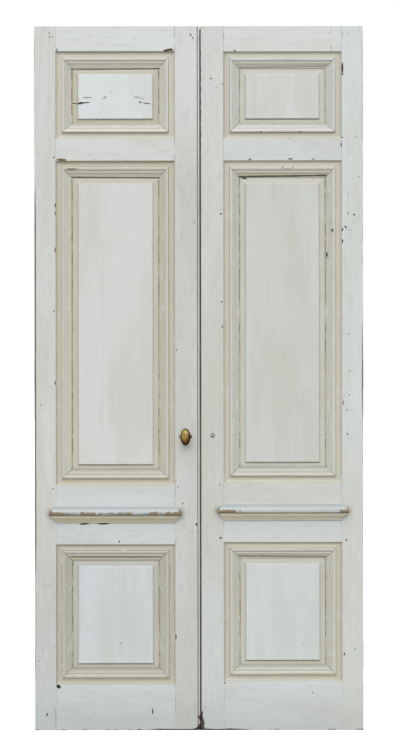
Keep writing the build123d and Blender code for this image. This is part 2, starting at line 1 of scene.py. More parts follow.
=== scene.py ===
# %% [markdown]
# # A pair of old painted double doors
# The real doors are two tall leaves of softwood, framed with mortise and tenon, with moulded
# lengths nailed round fielded panels. They have been painted many times, and the last white coat
# is thin, hazy and chipped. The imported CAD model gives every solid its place, so this lesson only
# dresses it: soft edges, old paint, wear, and the small hardware that the solids leave out.

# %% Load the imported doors
import json
import random
from math import radians

import bmesh
import bpy
from mathutils import Matrix, Vector


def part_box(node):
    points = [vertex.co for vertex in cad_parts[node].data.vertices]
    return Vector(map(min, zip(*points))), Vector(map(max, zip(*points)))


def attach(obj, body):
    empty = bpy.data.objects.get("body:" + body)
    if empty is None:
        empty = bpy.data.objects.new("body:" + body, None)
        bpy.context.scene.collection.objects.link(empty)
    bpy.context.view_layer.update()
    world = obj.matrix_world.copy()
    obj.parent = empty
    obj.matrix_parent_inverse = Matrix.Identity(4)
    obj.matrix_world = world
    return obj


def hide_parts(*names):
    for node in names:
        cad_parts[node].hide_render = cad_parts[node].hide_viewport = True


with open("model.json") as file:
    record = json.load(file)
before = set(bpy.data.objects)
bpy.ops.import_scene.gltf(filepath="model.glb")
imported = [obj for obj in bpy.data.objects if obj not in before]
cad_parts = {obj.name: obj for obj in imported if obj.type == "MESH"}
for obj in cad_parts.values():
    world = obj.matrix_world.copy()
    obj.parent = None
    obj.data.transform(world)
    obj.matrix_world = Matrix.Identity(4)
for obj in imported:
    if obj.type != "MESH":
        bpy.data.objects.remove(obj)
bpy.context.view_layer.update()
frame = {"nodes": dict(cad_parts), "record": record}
NODES = frame["nodes"]
BODY_OF = {
    node: body
    for body, names in frame["record"]["behaviour"]["bodies"].items()
    for node in names
}
SLOT_OF = {row["node"]: row["material_slot"] for row in frame["record"]["subparts"]}
MM = 0.001

# %% [markdown]
# ## A small language for finishes
# A finish is a node tree, and most of it is sums on numbers. Wired one node at a time, a sum is
# hard to read. A small class therefore wraps a socket, so that Python's own operators add the Math
# nodes. Any other kind of node comes from one method.

# %% Sockets that can stand in an expression
def operation(kind, flipped=False):
    """A method that adds one Math node. flipped swaps its two values."""
    def apply(value, other):
        values = (other, value) if flipped else (value, other)
        return value.finish.node("ShaderNodeMath", {"operation": kind}, values)
    return apply


class Value:
    __add__ = __radd__ = operation("ADD")
    __mul__ = __rmul__ = operation("MULTIPLY")
    __sub__, __rsub__ = operation("SUBTRACT"), operation("SUBTRACT", flipped=True)
    lesser, greater = operation("MINIMUM"), operation("MAXIMUM")

    def __init__(self, finish, socket):
        self.finish, self.socket = finish, socket

    def __abs__(self):
        return self.finish.node("ShaderNodeMath", {"operation": "ABSOLUTE"}, [self])

    def ease(self, low, high):
        """0 where the value is at low, 1 at high, and a soft step between."""
        settings = {"interpolation_type": "SMOOTHSTEP", "clamp": True}
        return self.finish.node("ShaderNodeMapRange", settings, [self, low, high, 0.0, 1.0])

    def span(self, low, high, soft):
        """1 between low and high, with edges that are soft metres wide on each side."""
        return self.ease(low - soft, low + soft) * self.ease(high + soft, high - soft)


class Tree:
    def __init__(self, tree, coordinates):
        self.tree = tree
        self.place = self.node("ShaderNodeTexCoord", output=coordinates)
        split = self.node("ShaderNodeSeparateXYZ", sockets=[self.place])
        self.x, self.y, self.z = (Value(self, out) for out in split.socket.node.outputs)

    def node(self, kind, settings=None, sockets=(), output=0):
        made = self.tree.nodes.new(kind)
        for key, setting in (settings or {}).items():
            setattr(made, key, setting)
        for key, value in sockets.items() if isinstance(sockets, dict) else enumerate(sockets):
            if isinstance(value, Value):
                self.tree.links.new(value.socket, made.inputs[key])
            else:
                made.inputs[key].default_value = value
        return Value(self, made.outputs[output])

    def mix(self, share, first, second):
        settings = {"data_type": "RGBA", "clamp_factor": True}
        return self.node("ShaderNodeMix", settings, {0: share, 6: first, 7: second}, output=2)

    def ramp(self, value, stops):
        """A colour for each value. stops are places from 0 to 1 with their colours."""
        made = self.node("ShaderNodeValToRGB", sockets=[value])
        elements = made.socket.node.color_ramp.elements
        while len(elements) < len(stops):
            elements.new(1.0)
        for element, stop in zip(elements, stops):
            element.position, element.color = stop
        return made

    def scaled(self, size, location, at=None):
        """Coordinates that count in clouds or cells of this size instead of in metres."""
        sizes = (size,) * 3 if isinstance(size, float) else size
        scale = tuple(1 / length for length in sizes)
        sockets = {"Vector": at or self.place, "Location": location, "Scale": scale}
        return self.node("ShaderNodeMapping", sockets=sockets)

    def noise(self, size, detail=3, rough=0.55, seed=0, at=None):
        """Clouds between 0 and 1. size is a cloud's length in metres, or one each for X, Y, Z."""
        clouds = self.scaled(size, (seed, 1.7 * seed, 2.3 * seed), at)
        sockets = {"Vector": clouds, "Scale": 1.0, "Detail": detail, "Roughness": rough}
        return self.node("ShaderNodeTexNoise", sockets=sockets)

    def specks(self, spacing, radius, share, seed=0):
        """Round dots. share is how many of the places that are spacing apart have one."""
        grid = self.scaled(spacing, (seed,) * 3)
        cells = self.node("ShaderNodeTexVoronoi", sockets={"Vector": grid, "Scale": 1.0})
        tint = Value(self, cells.socket.node.outputs["Color"])
        chance = self.node("ShaderNodeSeparateColor", sockets=[tint])
        dot = cells.ease(radius / spacing, 0.5 * radius / spacing)
        return dot * chance.ease(1 - share - 0.01, 1 - share)

    def distance(self, *offsets):
        """The length of a vector with these parts along X, Y and Z."""
        vector = self.node("ShaderNodeCombineXYZ", sockets=offsets)
        return self.node("ShaderNodeVectorMath", {"operation": "LENGTH"}, [vector], output="Value")


class Finish(Tree):
    """One material. Its patterns read Object coordinates, which are the doors' own metres."""

    def __init__(self, name):
        self.material = bpy.data.materials.new(name)
        self.material.use_nodes = True
        self.shader = self.material.node_tree.nodes["Principled BSDF"]
        super().__init__(self.material.node_tree, "Object")

    def feed(self, name, value):
        if isinstance(value, Value):
            self.tree.links.new(value.socket, self.shader.inputs[name])
        else:
            self.shader.inputs[name].default_value = value

    def lay(self, share, tone):
        """Lays a tone over the colour so far. share says how much of it covers, and where."""
        self.colour = self.mix(share, self.colour, tone)

    def coat(self, roughness, height=None, depth=0.0):
        """Sets the shader. height is a pattern of 0 to 1, and depth its relief in metres."""
        self.feed("Base Color", self.colour)
        self.feed("Roughness", roughness)
        if height is not None:
            relief = {"Strength": 1.0, "Distance": depth, "Height": height}
            self.feed("Normal", self.node("ShaderNodeBump", sockets=relief))
        return self.material


def rgb(red, green, blue):
    """A colour as a screen shows it, 0 to 255, turned into the linear light that shaders use."""
    def linear(level):
        level = min(max(level, 0), 255) / 255
        return level / 12.92 if level <= 0.04045 else ((level + 0.055) / 1.055) ** 2.4
    return linear(red), linear(green), linear(blue), 1.0


def shade(tone, red, green, blue):
    return rgb(tone[0] + red, tone[1] + green, tone[2] + blue)


# %% [markdown]
# ## Soft edges
# The CAD solids have knife edges, and no old door does. A CAD mesh is loose triangles, so a Bevel
# modifier would find no edge to round. Each wooden piece is therefore a merged copy of its node,
# and bmesh rounds its long edges. The copy stands for the node and rides on the same body.

# %% Merged copies with rounded edges
MERGE = 0.00001
FLAT = radians(1)
TILT = 0.02
SHARP = radians(28)


def copy_of(node):
    """The node as one skin. Mitred lengths touch face to face, and those hidden faces go."""
    mesh = bmesh.new()
    mesh.from_mesh(NODES[node].data)
    bmesh.ops.remove_doubles(mesh, verts=mesh.verts, dist=MERGE)
    if node.endswith("moulding"):
        mitred = [
            face
            for face in mesh.faces
            if abs(face.normal.y) < TILT and abs(abs(face.normal.x) - abs(face.normal.z)) < TILT
        ]
        bmesh.ops.delete(mesh, geom=mitred, context="FACES_ONLY")
    bmesh.ops.dissolve_limit(mesh, angle_limit=FLAT, verts=mesh.verts, edges=mesh.edges)
    return mesh


def points(made):
    """The vertices among what a bmesh operator has made."""
    return [part for part in made["geom"] if isinstance(part, bmesh.types.BMVert)]


def linked(name, data):
    """A new object in the scene."""
    made = bpy.data.objects.new(name, data)
    bpy.context.scene.collection.objects.link(made)
    return made


def piece(name, mesh, body, material, nodes=()):
    """Turns a bmesh into a shown piece that rides on a body."""
    data = bpy.data.meshes.new(name)
    mesh.to_mesh(data)
    mesh.free()
    data.shade_smooth()
    data.set_sharp_from_angle(angle=SHARP)
    data.materials.append(material)
    made = linked(name, data)
    made.modifiers.new("even_shading", "WEIGHTED_NORMAL").keep_sharp = True
    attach(made, body)
    if nodes:
        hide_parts(*nodes)
    return made


def softened(node, material, width):
    mesh = copy_of(node)
    edges = [
        edge
        for edge in mesh.edges
        if edge.is_manifold and edge.is_convex and edge.calc_face_angle() > SHARP
    ]
    bmesh.ops.bevel(
        mesh, geom=edges, offset=width, offset_type="OFFSET", segments=2, profile=0.5,
        affect="EDGES", clamp_overlap=True, material=-1,
    )
    return piece(f"{node}_soft", mesh, BODY_OF[node], material, [node])


# %% [markdown]
# ## Old white paint
# The white coat is oil paint brushed along the grain of each board. It is cool where it is thick
# and warm where older coats show through, with faint streaks, blue-grey specks and a little relief.
# One function mixes it for a tone and a direction of grain, so that no two boards look alike.

# %% The white coat
UPRIGHT = (0.1, 0.1, 0.5)
LEVEL = (0.5, 0.1, 0.1)
WHITE_ROUGHNESS = 0.5
BRUSH_DEPTH = 0.0004
SPECK = rgb(118, 126, 130)


def finer(grain, across, along):
    """The size of streaks that run the same way as the grain."""
    return tuple(along if side == max(grain) else across for side in grain)


def white_coat(finish, tone, grain, seed):
    """Lays the coat, and returns its brush marks as a pattern of 0 to 1."""
    haze = finish.noise(grain, detail=4, rough=0.6, seed=seed).ease(0.4, 0.64)
    finish.colour = finish.mix(haze, shade(tone, 3, 4, 5), shade(tone, -3, -4, -7))
    streak = finish.noise(finer(grain, 0.006, 0.35), detail=2, seed=seed + 3)
    finish.lay(streak.ease(0.56, 0.8) * 0.5, shade(tone, -16, -16, -16))
    blotch = finish.noise(0.05, detail=5, rough=0.7, seed=seed + 7)
    finish.lay(blotch.ease(0.58, 0.78) * 0.4, shade(tone, -12, -15, -22))
    worn = finish.noise(0.2, seed=seed + 13).ease(0.5, 0.62)
    finish.lay(finish.specks(0.024, 0.0028, 0.16, seed) * worn * 0.8, SPECK)
    return finish.noise(finer(grain, 0.0016, 0.09), detail=2, seed=seed + 11)


# %% [markdown]
# ## Stiles and rails
# Twelve boards frame the two leaves. Dirt has splashed up their feet, the wood has rotted where
# the leaves meet at the floor, the outer edges have lost their paint, and each rail shows a
# hairline where its shoulder has shrunk from the stile. A band of painted shade runs along parts
# of the outer edges. All of it is painted by position.

# %% Dirt and rot at the foot
# Rotten wood. The floor's painted shade below the gap uses it too.
ROT_AND_SHADE = rgb(44, 38, 29)
SPLASHED = rgb(166, 169, 163)
MEETING_LINE = 0.007


def soiled_foot(finish):
    """Rain has splashed dirt up the boards, and the wood has rotted below the gap."""
    ragged = finish.noise((0.05, 0.05, 0.025), detail=5, rough=0.7, seed=41)
    splash = (finish.z - 0.16 * ragged).ease(0.09, -0.07)
    finish.lay(splash * 0.4, SPLASHED)
    near_gap = abs(finish.x).ease(0.2, 0.13)
    crumbs_and_shade = (finish.z - 0.036 * ragged).ease(-0.016, -0.02)
    wet = (finish.z - 0.008 * ragged).ease(0.0016, -0.0004) * near_gap
    crumbly = finish.noise((0.012, 0.012, 0.02), detail=4, rough=0.7, seed=43)
    from_gap = abs(finish.x - MEETING_LINE)
    column = (from_gap + 0.1 * finish.z + 0.03 * crumbly).ease(0.027, 0.024)
    skirt = (0.25 * from_gap + finish.z + 0.04 * crumbly).ease(0.033, 0.029)
    finish.lay(crumbs_and_shade.greater(wet).greater(column).greater(skirt), ROT_AND_SHADE)


# %% Patches and drifting tones
def patchy(finish, tone, grain, seed):
    """Hands and weather have worn the boards in small patches along the grain."""
    patch = finish.noise(finer(grain, 0.013, 0.05), detail=4, rough=0.6, seed=seed + 17)
    thin, thick = patch.ease(0.52, 0.72), patch.ease(0.46, 0.28)
    finish.lay(thin * 0.55, shade(tone, -14, -15, -17))
    finish.lay(thick * 0.45, shade(tone, 9, 9, 10))


def drifted(finish, drifts):
    """The paint drifts towards other tones past some heights."""
    wavy = finish.z + 0.12 * (finish.noise((0.06, 0.06, 0.25), seed=37) - 0.5)
    for start, end, tone in drifts:
        finish.lay(wavy.ease(start, end) * 0.75, rgb(*tone))


# %% Worn outer edges and painted edge shade
OUTER_EDGE = (0.5568, 0.5588)
WORN_EDGE = rgb(136, 134, 124)
EDGE_SHADE_TONE = rgb(56, 56, 50)


def worn_and_shaded_outside(finish, shade_from, low, high):
    """Paint has flaked off the outer edge, and between two heights painted shade darkens it."""
    flaked = finish.noise((0.02, 0.02, 0.16), detail=4, seed=47).ease(0.44, 0.56)
    edge = abs(finish.x).ease(*OUTER_EDGE)
    finish.lay(edge * flaked * 0.8, WORN_EDGE)
    # Painted shade: a dark band on the front along the outer edge, between two heights.
    width = 0.004 * finish.noise((0.05, 0.05, 0.12), seed=49)
    edge_shade = (abs(finish.x) + width).ease(shade_from, shade_from + 0.001)
    edge_shade = edge_shade * finish.z.span(low, high, 0.1) * finish.y.ease(-0.008, -0.016)
    finish.lay(edge_shade * 0.85, EDGE_SHADE_TONE)


# %% The meeting edges
BROKEN_FROM = 0.008
BROKEN_WOOD = rgb(74, 70, 60)
# Painted shade for the faces in the gap between the leaves, darker below and paler near the top.
GAP_SHADE, PALE_GAP_SHADE = rgb(154, 149, 124), rgb(216, 214, 206)
PALE_HEIGHTS = (1.7, 2.2)
QUIRK = (-0.0078, -0.0022)
# Painted shade in the groove beside the bead.
QUIRK_SHADE = rgb(96, 94, 80)


def ragged_meeting_edge(finish):
    """The front corner of the right leaf has broken away in crumbs, mostly near the top."""
    ragged = finish.noise((0.012, 0.012, 0.018), detail=4, rough=0.65, seed=53)
    reach = finish.x - BROKEN_FROM - 0.01 * (ragged - 0.48)
    broken = reach.ease(0.0008, -0.0004) * finish.z.ease(1.86, 2.05)
    broken = broken * finish.y.ease(-0.012, -0.018)
    finish.lay(broken, BROKEN_WOOD)


def shaded_gap(finish, from_gap):
    """Paints the gap's shade, paler near the top. from_gap is the distance into the leaf from the
    meeting edge's corner.
    """
    gap_shading = finish.mix(finish.z.ease(*PALE_HEIGHTS), GAP_SHADE, PALE_GAP_SHADE)
    finish.lay(from_gap.ease(0.0006, -0.0002) * 0.95, gap_shading)


def shaded_quirk(finish):
    """Painted shade darkens the narrow groove beside the bead."""
    sunk = finish.y.ease(-0.02, -0.0175) * finish.y.ease(-0.01, -0.012)
    groove = sunk * finish.x.span(*QUIRK, 0.0004)
    finish.lay(groove * 0.75, QUIRK_SHADE)


# %% Hands and shoulders
NOSE = 0.033
GREASE = rgb(136, 120, 88)
HAIRLINE = rgb(98, 100, 94)


def handled_by_ledge(finish, side):
    """Hands that grip the ends of a ledge leave a brown halo on the stiles beside it."""
    low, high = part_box(f"{side}_ledge")
    nose = low.z + NOSE
    uneven = finish.noise(0.01, detail=4, rough=0.65, seed=61)
    for end in (low.x, high.x):
        far = finish.distance(finish.x - end, 0.0, 0.8 * (finish.z - nose))
        halo = (far + 0.02 * (uneven - 0.5)).ease(0.02, 0.002)
        finish.lay(halo * 0.5, GREASE)


def shrunk_shoulders(finish, low, high, strengths):
    """Each rail has shrunk from the stiles at its ends, and a broken hairline shows."""
    gap = finish.noise((0.01, 0.01, 0.05), seed=59)
    for shoulder, strength in zip((low, high), strengths):
        line = abs(finish.x - shoulder).ease(0.0022, 0.0008)
        finish.lay(line * gap.ease(0.36, 0.5) * strength, HAIRLINE)


# %% Paint the boards
BOARD_TONES = {
    "left_hinge_stile": (206, 207, 203),
    "left_meeting_stile": (199, 200, 196),
    "right_meeting_stile": (204, 206, 201),
    "right_hinge_stile": (208, 212, 209),
    "left_top_rail": (212, 215, 213),
    "right_top_rail": (212, 215, 213),
    "left_frieze_rail": (208, 210, 207),
    "right_frieze_rail": (205, 209, 207),
    "left_lock_rail": (202, 207, 205),
    "right_lock_rail": (203, 205, 200),
    "left_bottom_rail": (201, 207, 207),
    "right_bottom_rail": (204, 208, 207),
}
# Two heights in metres, between which a board drifts to another tone.
TONE_DRIFTS = {
    "left_hinge_stile": [(0.7, 0.35, (190, 192, 189)), (0.2, 0.08, (195, 205, 206))],
    "left_meeting_stile": [(1.8, 2.25, (215, 219, 218)), (0.55, 0.3, (193, 195, 190))],
    "right_meeting_stile": [(1.6, 1.3, (197, 197, 188)), (0.6, 0.45, (203, 208, 208))],
    "right_hinge_stile": [(1.2, 0.8, (202, 203, 197))],
    "right_lock_rail": [(0.745, 0.715, (205, 210, 210))],
}
EDGE_ROUND = 0.0007
SHOULDER_STRENGTHS = {"left": (0.35, 0.8), "right": (0.5, 0.5)}
# How far out the painted edge shade reaches, and between which heights.
SHADED_EDGES = {
    "left_hinge_stile": (0.5562, 0.55, 1.82),
    "right_hinge_stile": (0.5576, 1.05, 1.34),
}
LEFT_CORNER, RIGHT_CORNER = 0.0028, 0.0082

for count, (board, tone) in enumerate(BOARD_TONES.items()):
    finish = Finish(f"white_paint_{board}")
    side, kind = board.split("_", 1)
    is_rail = kind.endswith("rail")
    grain = LEVEL if is_rail else UPRIGHT
    brush = white_coat(finish, tone, grain, 5.0 * count)
    drifted(finish, TONE_DRIFTS.get(board, []))
    patchy(finish, tone, grain, 5.0 * count)
    if is_rail:
        low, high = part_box(f"{side}_tall_moulding")
        shrunk_shoulders(finish, low.x, high.x, SHOULDER_STRENGTHS[side])
    else:
        handled_by_ledge(finish, side)
    if board in SHADED_EDGES:
        worn_and_shaded_outside(finish, *SHADED_EDGES[board])
    if board == "left_meeting_stile":
        shaded_gap(finish, LEFT_CORNER - finish.x)
        shaded_quirk(finish)
    if board == "right_meeting_stile":
        shaded_gap(finish, finish.x - RIGHT_CORNER)
        ragged_meeting_edge(finish)
    soiled_foot(finish)
    softened(board, finish.coat(WHITE_ROUGHNESS, brush, BRUSH_DEPTH), EDGE_ROUND)
print("boards", len(BOARD_TONES))

# %% [markdown]
# ## A shade strip in the gap
# A thin strip stands along the back corner of the left leaf's meeting edge, in the gap between the
# leaves. Its dark colour is painted shade, and it keeps daylight out. It stands less than half a
# millimetre proud, so it passes the other leaf when a door swings.

# %% The shade strip at the back of the gap
GAP_LOW, GAP_HIGH = Vector((5.0, 18.5, 2.0)), Vector((5.65, 20.9, 2398.0))

mesh = bmesh.new()
bmesh.ops.create_cube(mesh, size=1.0)
bmesh.ops.scale(mesh, verts=mesh.verts, vec=(GAP_HIGH - GAP_LOW) * MM)
bmesh.ops.translate(mesh, verts=mesh.verts, vec=(GAP_HIGH + GAP_LOW) / 2 * MM)
finish = Finish("gap_shade_strip")
# Painted shade: grey-olive, paler near the top.
gap_shading = finish.noise((0.01, 0.01, 0.04))
finish.colour = finish.mix(gap_shading, rgb(142, 137, 112), rgb(168, 163, 140))
finish.lay(finish.z.ease(*PALE_HEIGHTS) * 0.8, rgb(208, 205, 196))
piece("left_gap_shade_strip", mesh, "left_leaf", finish.coat(roughness=0.9))
print("gap paint in millimetres", tuple(GAP_LOW), tuple(GAP_HIGH))

# %% [markdown]
# ## Panels
# Each panel is fielded: a raised white field, and round it a sunk margin in cream. The moulding
# covers the outer part of the margin, and the wood has shrunk, so a dark crack runs along its
# inner edge. A painted shadow lies under the field's step. The finish measures how far a point
# lies inside the panel's opening.

# %% How far inside an opening
OPENINGS = [f"{side}_{name}" for side in ("left", "right") for name in ("top", "tall", "bottom")]
MOULDING = 0.056
BACK_MOULDING = 0.03
FIELD = 0.076
FIELD_FOOT = 0.069
BACK_FIELD = 0.054


def inside(finish, opening):
    """Distances from the upright sides, the level sides and the nearest side of an opening."""
    low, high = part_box(f"{opening}_moulding")
    middle, half = (low + high) / 2, (high - low) / 2
    upright = half.x - abs(finish.x - middle.x)
    level = half.z - abs(finish.z - middle.z)
    return upright, level, upright.lesser(level)


def on_front(finish, front, back):
    """A length that is one value on the front of the doors and another on the back."""
    return back + (front - back) * finish.y.ease(0.001, -0.001)


# %% The crack below a head
# Its depth below the opening's edge at the left and the right end and its width, in millimetres,
# and how dark it is.
HEAD_CRACKS = {
    "left_top": (61.2, 57.0, 3.4, 0.85),
    "left_tall": (53.9, 58.0, 3.6, 0.9),
    "left_bottom": (43.1, 44.5, 6.0, 0.5),
    "right_top": (52.7, 48.0, 5.0, 0.5),
    "right_tall": (54.0, 49.6, 6.0, 1.00),
    "right_bottom": (48.3, 51.9, 5.4, 0.6),
}
CRACK, CRACK_LIP_HIGHLIGHT = rgb(56, 52, 38), rgb(222, 218, 196)


def cracked_head(finish, opening):
    """The head has parted from its panel. The line wanders, and its width changes along it. A
    painted highlight runs just below it.
    """
    low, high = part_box(f"{opening}_moulding")
    start, end, width, strength = HEAD_CRACKS[opening]
    share = (finish.x - low.x) * (1 / (high.x - low.x))
    ragged = finish.noise((0.025, 0.05, 0.05), detail=5, rough=0.65, seed=83) - 0.5
    gape = finish.noise(0.07, seed=87)
    below = high.z - finish.z - MM * (start + (end - start) * share + 4.0 * ragged)
    edge = abs(below) - MM * width * (0.15 + 0.7 * gape)
    here = finish.x.span(low.x + 0.05, high.x - 0.05, 0.004)
    here = here * finish.y.ease(0.001, -0.001) * strength
    # Painted highlight just below the crack.
    lit = below.span(0.0035, 0.0065, 0.0012) * here * 0.5
    finish.lay(lit, CRACK_LIP_HIGHLIGHT)
    finish.lay(edge.ease(0.0008, -0.0006) * here, CRACK)


# %% Paint the panels
# The tones of each opening: field, margin, the hollow of the moulding, and its ridge and cove.
OPENING_TONES = {
    "left_top": ((213, 218, 218), (191, 187, 168), (199, 196, 180), (205, 205, 195)),
    "left_tall": ((207, 209, 205), (193, 190, 174), (192, 187, 167), (199, 197, 184)),
    "left_bottom": ((202, 208, 208), (184, 183, 172), (183, 179, 160), (189, 188, 176)),
    "right_top": ((206, 208, 204), (198, 197, 186), (194, 192, 176), (204, 206, 201)),
    "right_tall": ((201, 202, 197), (196, 195, 183), (196, 193, 177), (202, 202, 193)),
    "right_bottom": ((204, 209, 208), (190, 189, 176), (190, 187, 169), (199, 199, 188)),
}
SHRINKAGE = rgb(74, 68, 50)
STEP_SHADOW = rgb(108, 101, 76)
PANEL_ROUND = 0.0004


def field_zones(finish, opening):
    """Depth in the opening, depth in the field, and 1 on the head or the foot of the margin."""
    upright, _, depth = inside(finish, opening)
    low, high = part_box(f"{opening}_moulding")
    from_head = high.z - finish.z - FIELD
    from_foot = finish.z - low.z - FIELD_FOOT
    front_field = (upright - FIELD).lesser(from_head).lesser(from_foot)
    in_field = on_front(finish, front_field, depth - BACK_FIELD)
    at_head = (front_field - from_head).ease(-0.001, -0.0002)
    at_foot = (front_field - from_foot).ease(-0.001, -0.0002)
    return depth, in_field, at_head, at_foot


def cream_margin(finish, tone, at_head, at_foot, seed):
    """The colour of the sunk margin, palest at its head and warmest at its foot."""
    smear = finish.noise((0.05, 0.05, 0.16), detail=4, seed=seed)
    light, dark = shade(tone, 3, 3, 4), shade(tone, -4, -4, -6)
    cream = finish.mix(smear.ease(0.35, 0.65), light, dark)
    cream = finish.mix(at_head * 0.6, cream, shade(tone, 12, 13, 16))
    return finish.mix(at_foot * 0.4, cream, shade(tone, -6, -9, -18))


for count, opening in enumerate(OPENINGS):
    finish = Finish(f"panel_paint_{opening}")
    depth, in_field, at_head, at_foot = field_zones(finish, opening)
    ragged = finish.noise(0.012, seed=17 + count) - 0.5
    field, margin = OPENING_TONES[opening][:2]
    brush = white_coat(finish, field, UPRIGHT, 70.0 + 5.0 * count)
    cream = cream_margin(finish, margin, at_head, at_foot, 3.0 * count)
    # Painted shadow under the field's step, darkest at the foot and faintest at the head.
    step = abs(in_field + 0.0014 + 0.002 * ragged).ease(0.0032, 0.0012)
    cream = finish.mix(step * (0.3 + 0.55 * at_foot - 0.24 * at_head), cream, STEP_SHADOW)
    finish.lay((in_field + 0.002 * ragged).ease(0.0004, -0.001), cream)

    broken = finish.noise(0.05, detail=4, seed=23 + count)
    opened = finish.noise((0.07, 0.07, 0.12), seed=29 + count).ease(0.4, 0.58)
    edge = on_front(finish, MOULDING, BACK_MOULDING)
    crack = (depth - edge - 0.004 * (broken - 0.42)).ease(0.0014, 0.0002)
    strength = (0.15 + 0.65 * opened) * (1 - at_foot) * (1 - at_head)
    finish.lay(crack * strength, SHRINKAGE)
    cracked_head(finish, opening)
    coat = finish.coat(WHITE_ROUGHNESS, brush, BRUSH_DEPTH)
    softened(f"{opening}_panel", coat, PANEL_ROUND)
print("panels", len(OPENINGS))

# %% [markdown]
# ## Mouldings
# Four mitred lengths frame each panel. Their outer hollow is cream, their ridge and inner cove are
# nearly white, and painted shade darkens every step of the section. Streaks have to follow each
# length round its corners, so the pattern is read along the length and across it instead of along
# X and Z.

# %% Colours across a moulding
MITRE = rgb(96, 95, 82)
STREAK, FLAKE, CHIP = rgb(150, 146, 124), rgb(211, 213, 209), rgb(118, 112, 92)
PARTED = rgb(84, 84, 70)
MOULDING_ROUND = 0.0003
FLAKE_DEPTH = 0.0006
# The place across the section, the tone that it follows, and its difference from that tone.
# The darker stops, at the outer edge, at the steps and towards the panel, are painted shade.
SECTION = [
    (0.00, "cream", -18, -18, -16), (0.03, "cream", 0, 0, 0), (0.36, "cream", 4, 4, 6),
    (0.38, "cream", -30, -30, -28), (0.41, "ridge", 2, 2, 2), (0.6, "ridge", 0, 0, 0),
    (0.62, "ridge", -16, -16, -16), (0.67, "ridge", -8, -8, -9), (0.88, "ridge", -15, -14, -18),
    (0.93, "ridge", -28, -30, -36), (0.96, "cream", -4, -4, -4), (1.00, "cream", -34, -34, -32),
]


def section_colour(finish, depth, cream, ridge):
    """The colours across a moulding, from the opening's edge to the panel."""
    tones = {"cream": cream, "ridge": ridge}
    stops = [(place, shade(tones[name], *change)) for place, name, *change in SECTION]
    return finish.ramp(depth * (1 / MOULDING), stops)


def unrolled(finish, upright, level, depth):
    """1 on upright lengths, and coordinates across a length, along it and by its direction."""
    on_upright = (level - upright).ease(-0.0003, 0.0003)
    along = finish.x + (finish.z - finish.x) * on_upright
    return on_upright, finish.node("ShaderNodeCombineXYZ", sockets=[depth, along, on_upright])


# %% Painted light and shade on foot and head, and a greyer foot ridge
# How much painted light lies in a head's hollow, how much painted shadow along its outer edge, and
# how much painted shade in its cove.
USUAL_HEAD = (0.35, 0.14, 0.12)
HEADS = {
    "left_top": (0.1, 0.36, 0.12), "left_tall": (0.0, 0.36, 0.12),
    "right_top": (0.35, 0.14, 0.35), "right_tall": (0.35, 0.14, 0.45),
}
# How much greyer the ridge of each kind of foot is.
FOOT_RIDGE_GREYING = {"top": 0.0, "tall": 0.4, "bottom": 0.4}
OPENING_EDGE_SHADOW, FOOT_RIDGE_GREY = rgb(122, 116, 90), rgb(146, 147, 142)
LIT_FOOT_STEP, LIT_STEP = rgb(200, 184, 142), rgb(224, 219, 196)
LIT_HOLLOW, SHADED_COVE = rgb(226, 222, 206), rgb(168, 160, 126)
LEFT_RIDGE_PALE = rgb(207, 207, 196)
REACH = 0.06


def greyed_and_lit_foot(finish, opening, depth, on_level, flake):
    """The foot's ridge is greyer, and its step is painted lighter and warmer as painted light."""
    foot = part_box(f"{opening}_moulding")[0].z
    on_foot = on_level * finish.z.ease(foot + REACH, foot + MOULDING)
    greyed_ridge = on_foot * depth.ease(0.0225, 0.0245) * FOOT_RIDGE_GREYING[opening.split("_")[1]]
    finish.lay(greyed_ridge * flake, FOOT_RIDGE_GREY)
    # Painted light on the foot's step, which faces down.
    lit_foot_step = on_foot * depth.span(0.019, 0.024, 0.001)
    finish.lay(lit_foot_step * 0.5, LIT_FOOT_STEP)


def lit_and_shaded_head(finish, opening, depth, on_level, drift):
    """Paints light in a head's hollow, a highlight on its step, and shade in its cove and along its
    edge.
    """
    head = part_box(f"{opening}_moulding")[1].z
    pale, head_shadow, stain_and_shade = HEADS.get(opening, USUAL_HEAD)
    on_head = on_level * finish.z.ease(head - REACH, head - MOULDING)
    finish.lay(on_head * depth.span(0.006, 0.0195, 0.002) * pale, LIT_HOLLOW)
    lit_step = on_head * depth.span(0.0355, 0.0405, 0.001)
    finish.lay(lit_step * 0.9, LIT_STEP)
    finish.lay(on_head * (depth.ease(0.04, 0.043) * stain_and_shade), SHADED_COVE)
    # Painted shadow along the outer edge of every length, strongest on a head.
    opening_edge_shadow = (depth - 0.006 * (drift + 0.5)).ease(0.007, 0.0005)
    finish.lay(opening_edge_shadow * (0.08 + head_shadow * on_head), OPENING_EDGE_SHADOW)


